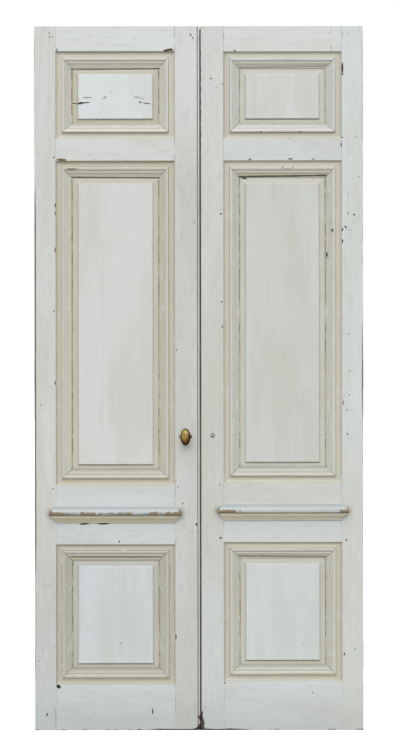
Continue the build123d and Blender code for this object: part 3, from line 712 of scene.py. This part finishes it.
# %% Paint the mouldings
for count, opening in enumerate(OPENINGS):
    finish = Finish(f"cream_paint_{opening}")
    upright, level, depth = inside(finish, opening)
    on_upright, run = unrolled(finish, upright, level, depth)
    seed = 9.0 * count
    drift = finish.noise((0.02, 0.09, 0.5), detail=4, seed=seed, at=run) - 0.5
    streak = finish.noise((0.0035, 0.16, 0.5), seed=seed + 4, at=run)
    flake = finish.noise((0.012, 0.05, 0.5), detail=5, rough=0.7, seed=seed + 6, at=run)
    chip = finish.noise((0.005, 0.018, 0.5), detail=4, rough=0.7, seed=seed + 8, at=run)
    opened = finish.noise((0.5, 0.05, 0.5), detail=5, rough=0.65, seed=seed + 2, at=run)

    hollow, ridge = OPENING_TONES[opening][2:]
    finish.colour = section_colour(finish, depth + 0.0022 * drift, hollow, ridge)
    finish.lay(streak.ease(0.54, 0.78) * 0.55, STREAK)
    finish.lay(flake.ease(0.58, 0.68) * 0.75, FLAKE)
    finish.lay(chip.ease(0.66, 0.72) * 0.6, CHIP)
    greyed_and_lit_foot(finish, opening, depth, 1 - on_upright, flake)
    # On the tall left opening, the left length is paler across its ridge and cove.
    if opening == "left_tall":
        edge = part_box("left_tall_moulding")[0].x
        on_left = on_upright * finish.x.ease(edge + REACH, edge + MOULDING)
        finish.lay(on_left * depth.span(0.03, 0.05, 0.002) * 0.55, LEFT_RIDGE_PALE)
    lit_and_shaded_head(finish, opening, depth, 1 - on_upright, drift)
    cracked_head(finish, opening)

    parted = (depth + 0.004 * drift).ease(0.0532, 0.0546) * opened.ease(0.47, 0.55)
    finish.lay(parted * on_upright * 0.75, PARTED)
    mitre = (abs(upright - level) + 0.003 * drift).ease(0.0014, 0.0005)
    mitre = mitre * (0.3 + 0.65 * depth.ease(0.018, 0.026))
    finish.lay(mitre * streak.ease(0.3, 0.5), MITRE)
    coat = finish.coat(WHITE_ROUGHNESS, flake, FLAKE_DEPTH)
    softened(f"{opening}_moulding", coat, MOULDING_ROUND)
print("mouldings", len(OPENINGS))

# %% [markdown]
# ## Ledges
# A moulded ledge crosses each lock rail. Hands and weather have taken the paint off its nose, so
# brown wood shows there in patches with ragged edges. Its upper slope is white, its cove cream,
# with a painted shadow just under the nose and painted light on the cove below it.
# Where the wood is bare is given as spans along the ledge, and noise makes their edges ragged.

# %% Colours of a ledge
LEDGE_TONES = {"left": (194, 189, 168), "right": (197, 194, 177)}
# The cove is a difference from the ledge's tone, and the slope above the nose is white. Just under
# the nose the cove's darkest stops are painted shadow, and its brightest stops below them are
# painted light.
COVE = [
    (0.00, -24, -22, -18), (0.05, 12, 10, 6), (0.1, -8, -8, -8), (0.16, 10, 8, 0),
    (0.25, 0, -2, -10), (0.29, 30, 28, 20), (0.4, 58, 54, 44), (0.43, -52, -52, -50),
    (0.46, -98, -96, -88),
]
SLOPE = [
    (0.49, 166, 170, 162), (0.55, 184, 190, 188), (0.66, 186, 193, 194), (0.76, 180, 188, 190),
    (0.82, 164, 170, 172), (0.93, 166, 171, 171), (0.97, 190, 195, 195),
]


def ledge_section(finish, rise, cream):
    """The colours of a ledge from its foot to its top."""
    stops = [(place, shade(cream, *change)) for place, *change in COVE]
    return finish.ramp(rise, stops + [(place, rgb(*tone)) for place, *tone in SLOPE])


# %% Bare wood on the nose
BARE_SPANS = {
    "left": [
        (-0.512, -0.458), (-0.405, -0.349), (-0.247, -0.231), (-0.168, -0.14), (-0.118, -0.055),
    ],
    "right": [(0.058, 0.128), (0.136, 0.142), (0.476, 0.515)],
}
BARE_HEIGHT = 0.0105
BARE_ENDS = 0.011
SPAN_SOFT = 0.002
BARE_WOOD, DARK_FIBRE, SHADED_WOOD = rgb(140, 124, 98), rgb(98, 84, 61), rgb(60, 51, 36)


def bare_wood(finish, above, coarse):
    """Brown wood with dark fibres along X, painted darkest at the foot of the nose as shade."""
    fibre = finish.noise((0.05, 0.0014, 0.0014), seed=33).ease(0.36, 0.64)
    wood = finish.mix((fibre * 0.6 + 1.6 * coarse).greater(0.0), BARE_WOOD, DARK_FIBRE)
    return finish.mix(above.ease(0.0042, 0.0), wood, SHADED_WOOD)


def bared(finish, spans, above, outside, coarse, fine):
    """1 where the paint is gone: along the given spans, and at the ends that hands grip."""
    rubbed = finish.x.span(*spans[0], SPAN_SOFT)
    for ends in spans[1:]:
        rubbed = rubbed.greater(finish.x.span(*ends, SPAN_SOFT))
    height = above - BARE_HEIGHT * (2.0 * rubbed - 1.0 + 1.1 * coarse + 1.6 * fine)
    bare = height.ease(0.0004, -0.0004) * rubbed
    grip = outside + 0.03 * fine + 0.02 * coarse
    gripped = grip.ease(-BARE_ENDS, 0.003 - BARE_ENDS)
    return bare.greater(gripped * above.ease(0.026, 0.02))


# %% Paint the ledges
NOSE_FOOT = 0.0279
SCUFF_AND_SHADE_HEIGHT = {"left": 0.0085, "right": 0.0018}
SCUFF_AND_SHADE_DARK, SCUFF_AND_SHADE_PALE = rgb(72, 75, 62), rgb(142, 148, 138)
RUN, SPLIT = rgb(150, 146, 126), rgb(46, 40, 32)
LEDGE_ROUND = 0.0006
RUN_DEPTH = 0.0005

for count, (side, spans) in enumerate(BARE_SPANS.items()):
    finish = Finish(f"ledge_paint_{side}")
    low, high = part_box(f"{side}_ledge")
    rise = finish.z - low.z
    above = rise - NOSE_FOOT
    outside = abs(finish.x - (low.x + high.x) / 2) - (high.x - low.x) / 2
    seed = 7.0 * count
    uneven = finish.noise(0.07, detail=4, rough=0.65, seed=13 + count) - 0.5
    coarse = finish.noise((0.022, 0.05, 0.05), detail=5, rough=0.7, seed=seed + 2) - 0.5
    fine = finish.noise((0.006, 0.006, 0.004), detail=4, rough=0.7, seed=seed + 3) - 0.5
    run = finish.noise((0.14, 0.004, 0.004), seed=5 * count)

    share = (rise + 0.003 * uneven) * (1 / (high.z - low.z))
    finish.colour = ledge_section(finish, share, LEDGE_TONES[side])
    finish.lay(run.ease(0.54, 0.76) * 0.5, RUN)
    on_nose = above.ease(-0.001, 0.0002)
    # The lower part of the nose is grey with scuffs and with painted shade.
    scuff_and_shade = above - SCUFF_AND_SHADE_HEIGHT[side] * (1 + 3.0 * coarse + 3.0 * fine)
    grey = finish.mix(fine.ease(-0.08, 0.12), SCUFF_AND_SHADE_DARK, SCUFF_AND_SHADE_PALE)
    finish.lay(on_nose * scuff_and_shade.ease(0.0008, -0.0008) * 0.9, grey)
    bare = on_nose * bared(finish, spans, above, outside, coarse, fine)
    finish.lay(bare, bare_wood(finish, above, coarse))

    mitre = abs(outside + finish.y - low.y).ease(0.0016, 0.0006)
    split = mitre * above.ease(0.0, -0.002) * finish.x.ease(0.4, 0.42)
    finish.lay(split * 0.9, SPLIT)
    softened(f"{side}_ledge", finish.coat(WHITE_ROUGHNESS, run, RUN_DEPTH), LEDGE_ROUND)
print("ledges", len(BARE_SPANS))

# %% [markdown]
# ## Nail holes, chips and cracks
# The doors carry dozens of small marks: nail holes, chips down to the wood, cracks, and smudges.
# A pattern would scatter them anywhere, and here each has its own place. Each mark is therefore a
# ragged little plate, a tenth of a millimetre proud of the face that carries it.

# %% Places of the marks
# X, Z, width and height in millimetres. Some also have a turn in degrees, and a last number
# for how far out the face lies where it isn't the face of the boards.
LEFT_MARKS = {
    "hole": [
        (-509, 2377, 3.8, 3.4), (-509, 2364, 3.8, 3.8), (-498, 2366, 4.1, 3.8),
        (-493, 1954, 5.5, 4.4), (-494, 1429, 4.1, 4.1), (-538, 1109, 4.1, 3.4),
        (-76, 1296, 3.1, 5.5), (-15, 1732, 3.1, 4.1), (-72, 829, 4.1, 4.1), (-55, 774, 4.4, 4.1),
        (-498, 824, 4.1, 3.8), (-272, 643, 4.1, 6.5), (-268, 294, 4.4, 4.1, 0, 11),
        (-519, 54, 5, 10), (-489, 1790, 2.6, 13), (-489, 1762, 2.4, 9, 3),
        (-159, 64, 3.8, 17.7), (-27, 2371, 4.4, 8.2, 35), (-20, 2361, 2.4, 10.2, 25),
        (-490, 1184, 2.7, 13.6), (-480, 149, 14.3, 10.2, -20), (-79, 318, 3.4, 15.3),
        (-533, 277, 3.1, 3.1), (-546, 236, 3.1, 3.1), (-482, 2320, 4.1, 8.2),
        (-9, 702, 5, 9.6, 8), (-24, 676, 3.4, 2.7),
    ],
    "crack": [
        (-105, 2319, 27.3, 6.1, 8), (-391, 704, 31.4, 5.5, 3), (-328, 704, 35.5, 4.8, 2),
        (-403, 2140, 22.2, 6.8, 6, 11), (-383, 2142, 22.2, 3.4, 4, 11),
        (-424, 2140, 14.3, 3.1, 0, 7), (-199, 2143, 6.8, 5.1, 0, 11),
        (-176, 2139, 25.6, 3.1, -8, 11),
    ],
    "wood": [
        (-490, 1638, 3.4, 18.8, 4), (-481, 153, 7.5, 4.8), (-92, 2320, 12.3, 6.1, -20),
        (-466, 1945, 32, 8, -5), (-430, 1914, 38, 3.6, 1, 20.7),
    ],
    "smudge": [
        (-278, 319, 2.7, 2.7, 0, 11), (-264, 277, 3.4, 4.1, 0, 11), (-490, 45, 2.6, 68, 1),
        (-509, 42, 3.1, 3.4), (-478, 114, 3.1, 3.1), (-526, 497, 7.5, 2, 10),
        (-509, 497, 11.6, 1.7, 3), (-411, 2154, 4.8, 4.1, 0, 11), (-211, 2160, 18.8, 4.4, -6, 11),
        (-320, 2159, 13.6, 5.5, 35, 11), (-381, 2159, 30.7, 4.4, 3, 11),
        (-193, 2156, 13.6, 2.7, -10, 11), (-299, 2177, 4.1, 4.1, 0, 11),
    ],
}
RIGHT_MARKS = {
    "hole": [
        (76, 1760, 5.4, 5.4), (78, 1460, 5.4, 5), (510, 1762, 4.4, 5.1),
        (530, 1757, 5, 6.4, -35), (501, 1715, 7.6, 5.4, -25), (546, 1886, 3.4, 3.4),
        (505, 1091, 4.1, 4.4), (506, 1009, 4.4, 5.5), (515, 1224, 3.4, 3.4), (513, 1142, 3.4, 4.1),
        (511, 1350, 3.4, 4.1), (70, 837, 3.8, 3.8), (73, 655, 8.2, 5.1), (502, 648, 6.1, 4.4),
        (532, 276, 3.4, 3.4), (87, 161, 5.5, 4.4), (387, 127, 4.4, 3.8), (42, 2222, 5.5, 4.8),
        (495, 259, 3.4, 10.9), (492, 1115, 2.4, 17.1), (486, 1996, 3.1, 16.4),
        (491, 2020, 4.1, 4.8), (175, 1946, 7.5, 4.1), (313, 1947, 14.3, 4.4),
        (392, 1946, 6.8, 3.1), (82, 2203, 3.4, 4.1), (490, 1706, 4, 12, -12),
        (490, 1667, 4, 13, 10), (456, 1704, 5.6, 9.6, 15, 20.4),
        (463, 1667, 3, 10, 0, 20.4), (437, 1622, 5, 13.6, 0, 16), (80, 1375, 4, 6),
        (213, 2041, 6, 4, 20, 20.5), (345, 2041, 6, 3.4, 10, 20.5),
        (286, 1918, 3, 5, 30, 20.6), (321, 1917, 3, 4.4, -30, 20.7),
        (156, 1883, 18, 5, -8, 7),
    ],
    "wood": [
        (124, 2317, 8.2, 4.4),
    ],
    "smudge": [
        (354, 289, 4.1, 3.8, 0, 11), (453, 2327, 2.4, 23.2, 4), (452, 2385, 2.7, 6.8),
        (491, 2374, 2.4, 13.6), (86, 2365, 3.1, 17.1), (61, 2191, 11.6, 2),
        (535, 2023, 4.8, 5.5), (312, 2015, 10.2, 2.4, -30), (445, 2376, 10.2, 2),
        (529, 1732, 4.4, 4.4), (511, 1825, 2.6, 12, 5), (464, 1754, 4.4, 4.4, 0, 20.4),
        (512, 1706, 22, 2, -14), (305, 1914, 22, 2.4, -2, 20.5),
    ],
    "rust": [
        (491, 2257, 5.1, 37.5), (491, 2235, 4.8, 6.1, 25),
    ],
}

# %% Make the marks
# The name of a kind's pieces, and its darkest and its palest colour.
MARK_COLOURS = {
    "hole": ("nail_holes", rgb(34, 33, 29), rgb(62, 61, 55)),
    "crack": ("cracks", rgb(50, 45, 38), rgb(82, 74, 58)),
    "wood": ("wood_chips", rgb(134, 117, 86), rgb(98, 87, 64)),
    "smudge": ("smudges", rgb(142, 152, 156), rgb(168, 174, 174)),
    "rust": ("rust_chips", rgb(52, 34, 30), rgb(92, 58, 50)),
}
FACE = 21
CORNERS = 11
MARK_RADIUS = 0.56
PROUD, SUNK = 0.0001, 0.0004
rng = random.Random(11)


def add_mark(mesh, x, z, width, height, turn=0, out=FACE):
    shape = bmesh.ops.create_circle(mesh, cap_ends=True, segments=CORNERS, radius=MARK_RADIUS)
    ring = shape["verts"]
    for vertex in ring:
        vertex.co *= rng.uniform(0.86, 1.22)
    bmesh.ops.scale(mesh, verts=ring, vec=(width * MM, height * MM, 1))
    facing = Matrix.Rotation(radians(90), 3, "X") @ Matrix.Rotation(radians(turn), 3, "Z")
    bmesh.ops.rotate(mesh, verts=ring, cent=(0, 0, 0), matrix=facing)
    bmesh.ops.translate(mesh, verts=ring, vec=(x * MM, SUNK - out * MM, z * MM))
    front = points(bmesh.ops.extrude_face_region(mesh, geom=[ring[0].link_faces[0]]))
    bmesh.ops.translate(mesh, verts=front, vec=(0, -SUNK - PROUD, 0))


mark_finishes = {}
for kind, (name, dark, light) in MARK_COLOURS.items():
    finish = Finish(name)
    mottle = finish.noise(0.004).ease(0.35, 0.65)
    finish.colour = finish.mix(mottle, dark, light)
    mark_finishes[kind] = finish.coat(0.85, mottle, depth=0.0003)

for side, marks in (("left", LEFT_MARKS), ("right", RIGHT_MARKS)):
    for kind, (name, *_) in MARK_COLOURS.items():
        if kind in marks:
            mesh = bmesh.new()
            for place in marks[kind]:
                add_mark(mesh, *place)
            bmesh.ops.recalc_face_normals(mesh, faces=mesh.faces)
            piece(f"{side}_{name}", mesh, f"{side}_leaf", mark_finishes[kind])
    print(side, "marks", sum(len(places) for places in marks.values()))

# %% [markdown]
# ## Brass knobs
# The knob is a brass oval, rounder above than below, with a raised crown that hands have kept
# bright. Its rim and foot are dark with patina. Its colour is painted lighter to the upper left and
# darker to the lower right, as painted highlight and shade. A ring of points is extruded forward
# step by step and scaled at each step, as a lofted form would be. The rear knob is its mirror
# image.

# %% Shape the knobs
KNOB_X, KNOB_Z = -0.04563, 1.00096
KNOB_FOOT = 0.0214
# Half width, half height and distance out from the foot, in millimetres.
KNOB_RINGS = [
    (9.0, 9.0, 0.0), (8.4, 8.4, 5.0), (8.0, 8.0, 11.0), (8.6, 9.4, 15.5), (11.0, 15.0, 19.0),
    (14.6, 23.6, 22.0), (16.7, 28.2, 25.0), (17.25, 29.5, 28.5), (16.9, 28.8, 31.6),
    (15.6, 26.2, 34.0), (14.2, 23.2, 34.9), (13.6, 22.0, 34.6), (12.9, 20.6, 36.2),
    (11.4, 18.0, 39.2), (9.2, 14.2, 41.6), (6.2, 9.4, 43.0), (3.0, 4.4, 43.5),
]
EGG = 0.03
# The first ring is made with a radius of one metre.
START = (1000.0, 1000.0, 0.0)


def knob_mesh(toward):
    """toward is -1 for the front knob and 1 for the rear one."""
    mesh = bmesh.new()
    ring = bmesh.ops.create_circle(mesh, cap_ends=False, segments=40, radius=1.0)["verts"]
    bmesh.ops.rotate(mesh, verts=ring, cent=(0, 0, 0), matrix=Matrix.Rotation(radians(90), 3, "X"))
    edges = list(mesh.edges)
    for step, (width, height, out) in enumerate(KNOB_RINGS):
        if step:
            ring = points(bmesh.ops.extrude_edge_only(mesh, edges=edges))
            edges = [edge for edge in mesh.edges if all(end in ring for end in edge.verts)]
        last = KNOB_RINGS[step - 1] if step else START
        bmesh.ops.scale(mesh, verts=ring, vec=(width / last[0], 1, height / last[1]))
        bmesh.ops.translate(mesh, verts=ring, vec=(0, toward * (out - last[2]) * MM, 0))
    bmesh.ops.holes_fill(mesh, edges=mesh.edges)
    reach = MM * max(height for _, height, _ in KNOB_RINGS)
    for vertex in mesh.verts:
        below = max(0.0, -vertex.co.z / reach)
        vertex.co.x *= 1 - EGG * below * below
    place = (KNOB_X, toward * KNOB_FOOT, KNOB_Z)
    bmesh.ops.translate(mesh, verts=mesh.verts, vec=place)
    bmesh.ops.recalc_face_normals(mesh, faces=mesh.faces)
    return mesh


# %% Brass with patina, and painted highlight and shade
LIT_BRASS, SHADED_BRASS, TARNISH = rgb(222, 206, 140), rgb(100, 68, 20), rgb(116, 84, 26)
LIT_RIM, SHADED_RIM = rgb(112, 98, 46), rgb(46, 30, 10)
CROWN_WIDTH, CROWN_HEIGHT, CROWN_RISE = 0.0152, 0.0255, 0.002

finish = Finish("aged_brass")
height = finish.z - KNOB_Z
sideways = finish.x - KNOB_X
upward = (height - CROWN_RISE) * (1 / CROWN_HEIGHT)
roundness = finish.distance(sideways * (1 / CROWN_WIDTH), 0.0, upward)
blotch = finish.noise((0.005, 0.005, 0.012), detail=4, rough=0.7, seed=2)
# Painted highlight and shade: lighter to the upper left, darker to the lower right.
lit = (height - 0.8 * sideways).ease(-0.016, 0.026)
crown = finish.mix(lit, SHADED_BRASS, LIT_BRASS)
fleck = finish.noise((0.006, 0.006, 0.015), detail=1, seed=4)
tarnish = fleck.ease(0.46, 0.56) * roundness.ease(0.95, 0.35)
crown = finish.mix(tarnish * 0.85, crown, TARNISH)
rim = finish.mix(lit, SHADED_RIM, LIT_RIM)
patina = (roundness + 0.4 * (blotch - 0.5)).ease(0.64, 0.92)
finish.colour = finish.mix(patina, crown, rim)
brass = finish.coat(0.56 + 0.12 * patina, blotch, depth=0.0008)
finish.feed("Metallic", 1.0 - 0.35 * patina)

ROSE_ROUND = 0.0006
for name, toward in (("front_knob", -1), ("rear_knob", 1)):
    piece(f"{name}_cast", knob_mesh(toward), "knob", brass, [name])
for node in ("front_rose", "rear_rose"):
    softened(node, brass, ROSE_ROUND)

# %% [markdown]
# ## Iron and steel
# The hinges are old iron with rust. The lock and the flush bolts are steel
# that has gone dull. They hide behind and between the leaves, and they show when a leaf is open.

# %% Iron and steel
IRON_ROUND, STEEL_ROUND = 0.0005, 0.0003


def metal(name, clean, stain_and_shade, roughness, seed):
    finish = Finish(name)
    cloud = finish.noise(0.018, detail=5, rough=0.65, seed=seed)
    pits = finish.noise(0.0016, detail=2, seed=seed + 1)
    stained = cloud.ease(0.46, 0.64)
    finish.colour = finish.mix(stained, clean, stain_and_shade)
    material = finish.coat(roughness + 0.35 * stained, pits, depth=0.0003)
    finish.feed("Metallic", 0.9 - 0.7 * stained)
    return material


iron = metal("hinge_iron", rgb(92, 88, 84), rgb(110, 74, 52), 0.42, 4.0)
steel = metal("dark_steel", rgb(150, 148, 144), rgb(104, 92, 78), 0.32, 9.0)
METALS = {"hinge_iron": (iron, IRON_ROUND), "dark_steel": (steel, STEEL_ROUND)}
for node, slot in SLOT_OF.items():
    if slot in METALS:
        softened(node, *METALS[slot])
print("metal nodes", sum(slot in METALS for slot in SLOT_OF.values()))

# %% [markdown]
# ## Pegs and plug
# The pegs were painted with the boards. The plug in the old spindle hole is filler that has cracked
# in a ring and fallen out at one spot. These few solids need no soft edges, so they keep their own
# mesh and only get a material.

# %% Paint the pegs and the plug
PEG_TONE, PLUG_TONE = (202, 204, 200), (190, 191, 186)
SPOT_X, SPOT_Z = 0.0045, 0.005

finish = Finish("peg_wood")
brush = white_coat(finish, PEG_TONE, UPRIGHT, 150.0)
soiled_foot(finish)
peg_paint = finish.coat(WHITE_ROUGHNESS, brush, BRUSH_DEPTH)

finish = Finish("plug_paint")
white_coat(finish, PLUG_TONE, UPRIGHT, 155.0)
low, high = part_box("spindle_hole_plug")
sideways = finish.x - (low.x + high.x) / 2
upward = finish.z - (low.z + high.z) / 2
filler = finish.noise(0.007, detail=4, rough=0.6, seed=6)
from_middle = finish.distance(sideways, 0.0, upward)
ring = (from_middle + 0.024 * (filler - 0.5)).ease(0.003, 0.0052)
ring = ring * finish.noise(0.006, detail=2, seed=8).ease(0.34, 0.48)
ring = ring * (0.55 + 0.45 * sideways.ease(-0.006, 0.002))
spot = finish.distance(sideways + SPOT_X, 0.0, upward + SPOT_Z)
ring = ring.greater(spot.ease(0.0038, 0.0022))
cracked = finish.mix(filler.ease(0.4, 0.62), rgb(58, 60, 56), rgb(112, 114, 108))
finish.lay(ring * 0.9, cracked)
plug_paint = finish.coat(0.7, filler, depth=0.0006)

for node, paint in (
    ("left_tenon_pegs", peg_paint),
    ("right_tenon_pegs", peg_paint),
    ("spindle_hole_plug", plug_paint),
):
    NODES[node].data.materials.clear()
    NODES[node].data.materials.append(paint)
print("plug from", tuple(low), "to", tuple(high))

# %% [markdown]
# ## Screws
# Slotted screws hold the hinge plates, the roses and the edge plates. One head is a disc cut by
# two planes, and the two outer parts are extruded, which leaves the slot between them.

# %% Make one screw
SCREW_HEIGHT = 0.0007
SLOT_SHARE = 0.16
TOP_SHARE = 0.9


def add_screw(mesh, centre, normal, radius, turn):
    disc = bmesh.new()
    bmesh.ops.create_circle(disc, cap_ends=True, segments=16, radius=radius)
    slot = SLOT_SHARE * radius
    for edge in (-slot, slot):
        everything = disc.verts[:] + disc.edges[:] + disc.faces[:]
        bmesh.ops.bisect_plane(disc, geom=everything, plane_co=(edge, 0, 0), plane_no=(1, 0, 0))
    lands = [face for face in disc.faces if abs(face.calc_center_median().x) > slot]
    top = points(bmesh.ops.extrude_face_region(disc, geom=lands))
    bmesh.ops.translate(disc, verts=top, vec=(0, 0, SCREW_HEIGHT))
    bmesh.ops.scale(disc, verts=top, vec=(TOP_SHARE, TOP_SHARE, 1))
    bmesh.ops.recalc_face_normals(disc, faces=disc.faces)
    turned = Vector(normal).to_track_quat("Z", "Y").to_matrix() @ Matrix.Rotation(turn, 3, "Z")
    bmesh.ops.rotate(disc, verts=disc.verts, cent=(0, 0, 0), matrix=turned)
    bmesh.ops.translate(disc, verts=disc.verts, vec=centre)
    data = bpy.data.meshes.new("screw")
    disc.to_mesh(data)
    disc.free()
    mesh.from_mesh(data)
    bpy.data.meshes.remove(data)


# %% Screws on the roses and edge plates
ROSE_SCREW, PLATE_SCREW = 0.0026, 0.0034
ROSE_INSET, PLATE_INSET = 0.0035, 0.009


def screws(name, body, places, normal, radius, material):
    mesh = bmesh.new()
    for place in places:
        add_screw(mesh, place, normal, radius, rng.uniform(0, 3))
    piece(name, mesh, body, material)


low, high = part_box("front_rose")
rose_places = low.x + ROSE_INSET, high.x - ROSE_INSET
for name, y, normal in (("front", low.y, (0, -1, 0)), ("rear", -low.y, (0, 1, 0))):
    places = [(x, y, KNOB_Z) for x in rose_places]
    screws(f"{name}_rose_screws", "left_leaf", places, normal, ROSE_SCREW, brass)

for node, body, toward in (
    ("lock_faceplate", "left_leaf", 1),
    ("strike_plate", "right_leaf", -1),
    ("top_bolt_plate", "right_leaf", -1),
    ("bottom_bolt_plate", "right_leaf", -1),
):
    low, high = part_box(node)
    x = high.x if toward > 0 else low.x
    places = [(x, 0.0, z) for z in (low.z + PLATE_INSET, high.z - PLATE_INSET)]
    screws(f"{node}_screws", body, places, (toward, 0, 0), PLATE_SCREW, steel)
print("screws in a plate", len(places))

# %% Screws in the hinges
# The heads are sunk in the plates, because the jamb plates leave little room for them.
PLATE_FACE = 0.5584
SCREW_SINK = 0.0004
SCREW_Y = 0.007
SCREW_RISE = 0.032

for side, way in (("left", -1), ("right", 1)):
    x = way * (PLATE_FACE - SCREW_SINK)
    places = []
    for kind in ("lower", "middle", "upper"):
        low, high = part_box(f"{side}_{kind}_door_plate")
        middle = (low.z + high.z) / 2
        places += [(x, SCREW_Y, middle - SCREW_RISE), (x, SCREW_Y, middle + SCREW_RISE)]
    name, body = f"{side}_hinge_screws", f"{side}_leaf"
    screws(name, body, places, (way, 0, 0), PLATE_SCREW, iron)
print("screws in a leaf's hinges", len(places))

# %% [markdown]
# ## Floor
# The doors stand on a plain pale floor. A little emission keeps it as white as the background, and
# it isn't seen by scattered light, so that it doesn't brighten the undersides of the mouldings.
# Below the gap, a dark strip in the colour of rot is painted on it as the gap's shade.

# %% Lay the floor
FLOOR_DROP = 0.0005
FLOOR_SIZE = 30
FLOOR_GLOW = 0.45

mesh = bmesh.new()
bmesh.ops.create_grid(mesh, x_segments=1, y_segments=1, size=FLOOR_SIZE)
bmesh.ops.translate(mesh, verts=mesh.verts, vec=(0, 0, -FLOOR_DROP))
data = bpy.data.meshes.new("floor")
mesh.to_mesh(data)
mesh.free()
floor = linked("floor", data)
finish = Finish("pale_floor")
cloud = finish.noise(0.8)
# Painted shade on the floor below the gap, in its colour and in its glow.
crumbs_and_shade = finish.x.span(0.003, 0.009, 0.001) * finish.y.span(-0.02, 0.02, 0.002)
pale = finish.mix(cloud, rgb(236, 236, 235), rgb(240, 240, 239))
finish.colour = finish.mix(crumbs_and_shade, pale, ROT_AND_SHADE)
data.materials.append(finish.coat(roughness=0.7))
finish.feed("Emission Color", finish.mix(crumbs_and_shade, (1, 1, 1, 1), ROT_AND_SHADE))
finish.shader.inputs["Emission Strength"].default_value = FLOOR_GLOW
floor.visible_diffuse = False
print("floor at", -FLOOR_DROP)

# %% [markdown]
# ## Light
# The photograph was taken in soft daylight from above, a little to the left, with a white cut-out
# background. A wide sun gives the same strength over the whole height of the doors, which a lamp
# close by would not. The sky is brighter above than below, so undersides go dark.

# %% Sky and sun
scene = bpy.context.scene
scene.view_settings.view_transform = "Standard"
SKY_BELOW, SKY_ABOVE = 0.3, 0.66
SUN_STRENGTH = 2.12
SUN_SPREAD = radians(60)
SUN_DIRECTION = Vector((0.06, 0.8, -0.78))
BACK_STRENGTH = 1.6
BACK_DIRECTION = Vector((-0.3, -0.8, -0.5))

world = bpy.data.worlds.new("studio")
world.use_nodes = True
scene.world = world
sky = Tree(world.node_tree, "Generated")
light = sky.node("ShaderNodeMapRange", {"clamp": True}, [sky.z, -1.0, 1.0, SKY_BELOW, SKY_ABOVE])
seen = sky.node("ShaderNodeLightPath", output="Is Camera Ray")
background = world.node_tree.nodes["Background"]
background.inputs["Color"].default_value = (1, 1, 1, 1)
sky.tree.links.new((light + seen * (1 - light)).socket, background.inputs["Strength"])

for name, strength, direction in (
    ("front_sun", SUN_STRENGTH, SUN_DIRECTION),
    ("back_fill", BACK_STRENGTH, BACK_DIRECTION),
):
    lamp_data = bpy.data.lights.new(name, "SUN")
    lamp_data.energy = strength
    lamp_data.angle = SUN_SPREAD
    lamp = linked(name, lamp_data)
    lamp.rotation_euler = direction.to_track_quat("-Z", "Y").to_euler()
print("sun", SUN_STRENGTH, "sky", SKY_BELOW, SKY_ABOVE)

# %% [markdown]
# ## Camera
# The photograph was taken straight on, with a level camera at half the height of the doors: the
# panels are as wide at the top as at the bottom. The picture is turned by less than a tenth of a
# degree, and so is the camera.

# %% Place the camera
PICTURE_HEIGHT = 742
FOCAL_PIXELS = 1348.0
SENSOR = 36.0
CAMERA_PLACE = (0.0039, -4.617, 1.2244)
ROLL = radians(-0.077)

camera_data = bpy.data.cameras.new("camera")
camera_data.sensor_width = SENSOR
camera_data.lens = FOCAL_PIXELS / PICTURE_HEIGHT * SENSOR
camera = linked("camera", camera_data)
camera.matrix_world = (
    Matrix.Translation(CAMERA_PLACE)
    @ Matrix.Rotation(radians(90), 4, "X")
    @ Matrix.Rotation(ROLL, 4, "Z")
)
scene.camera = camera
print("lens", round(camera_data.lens, 2))
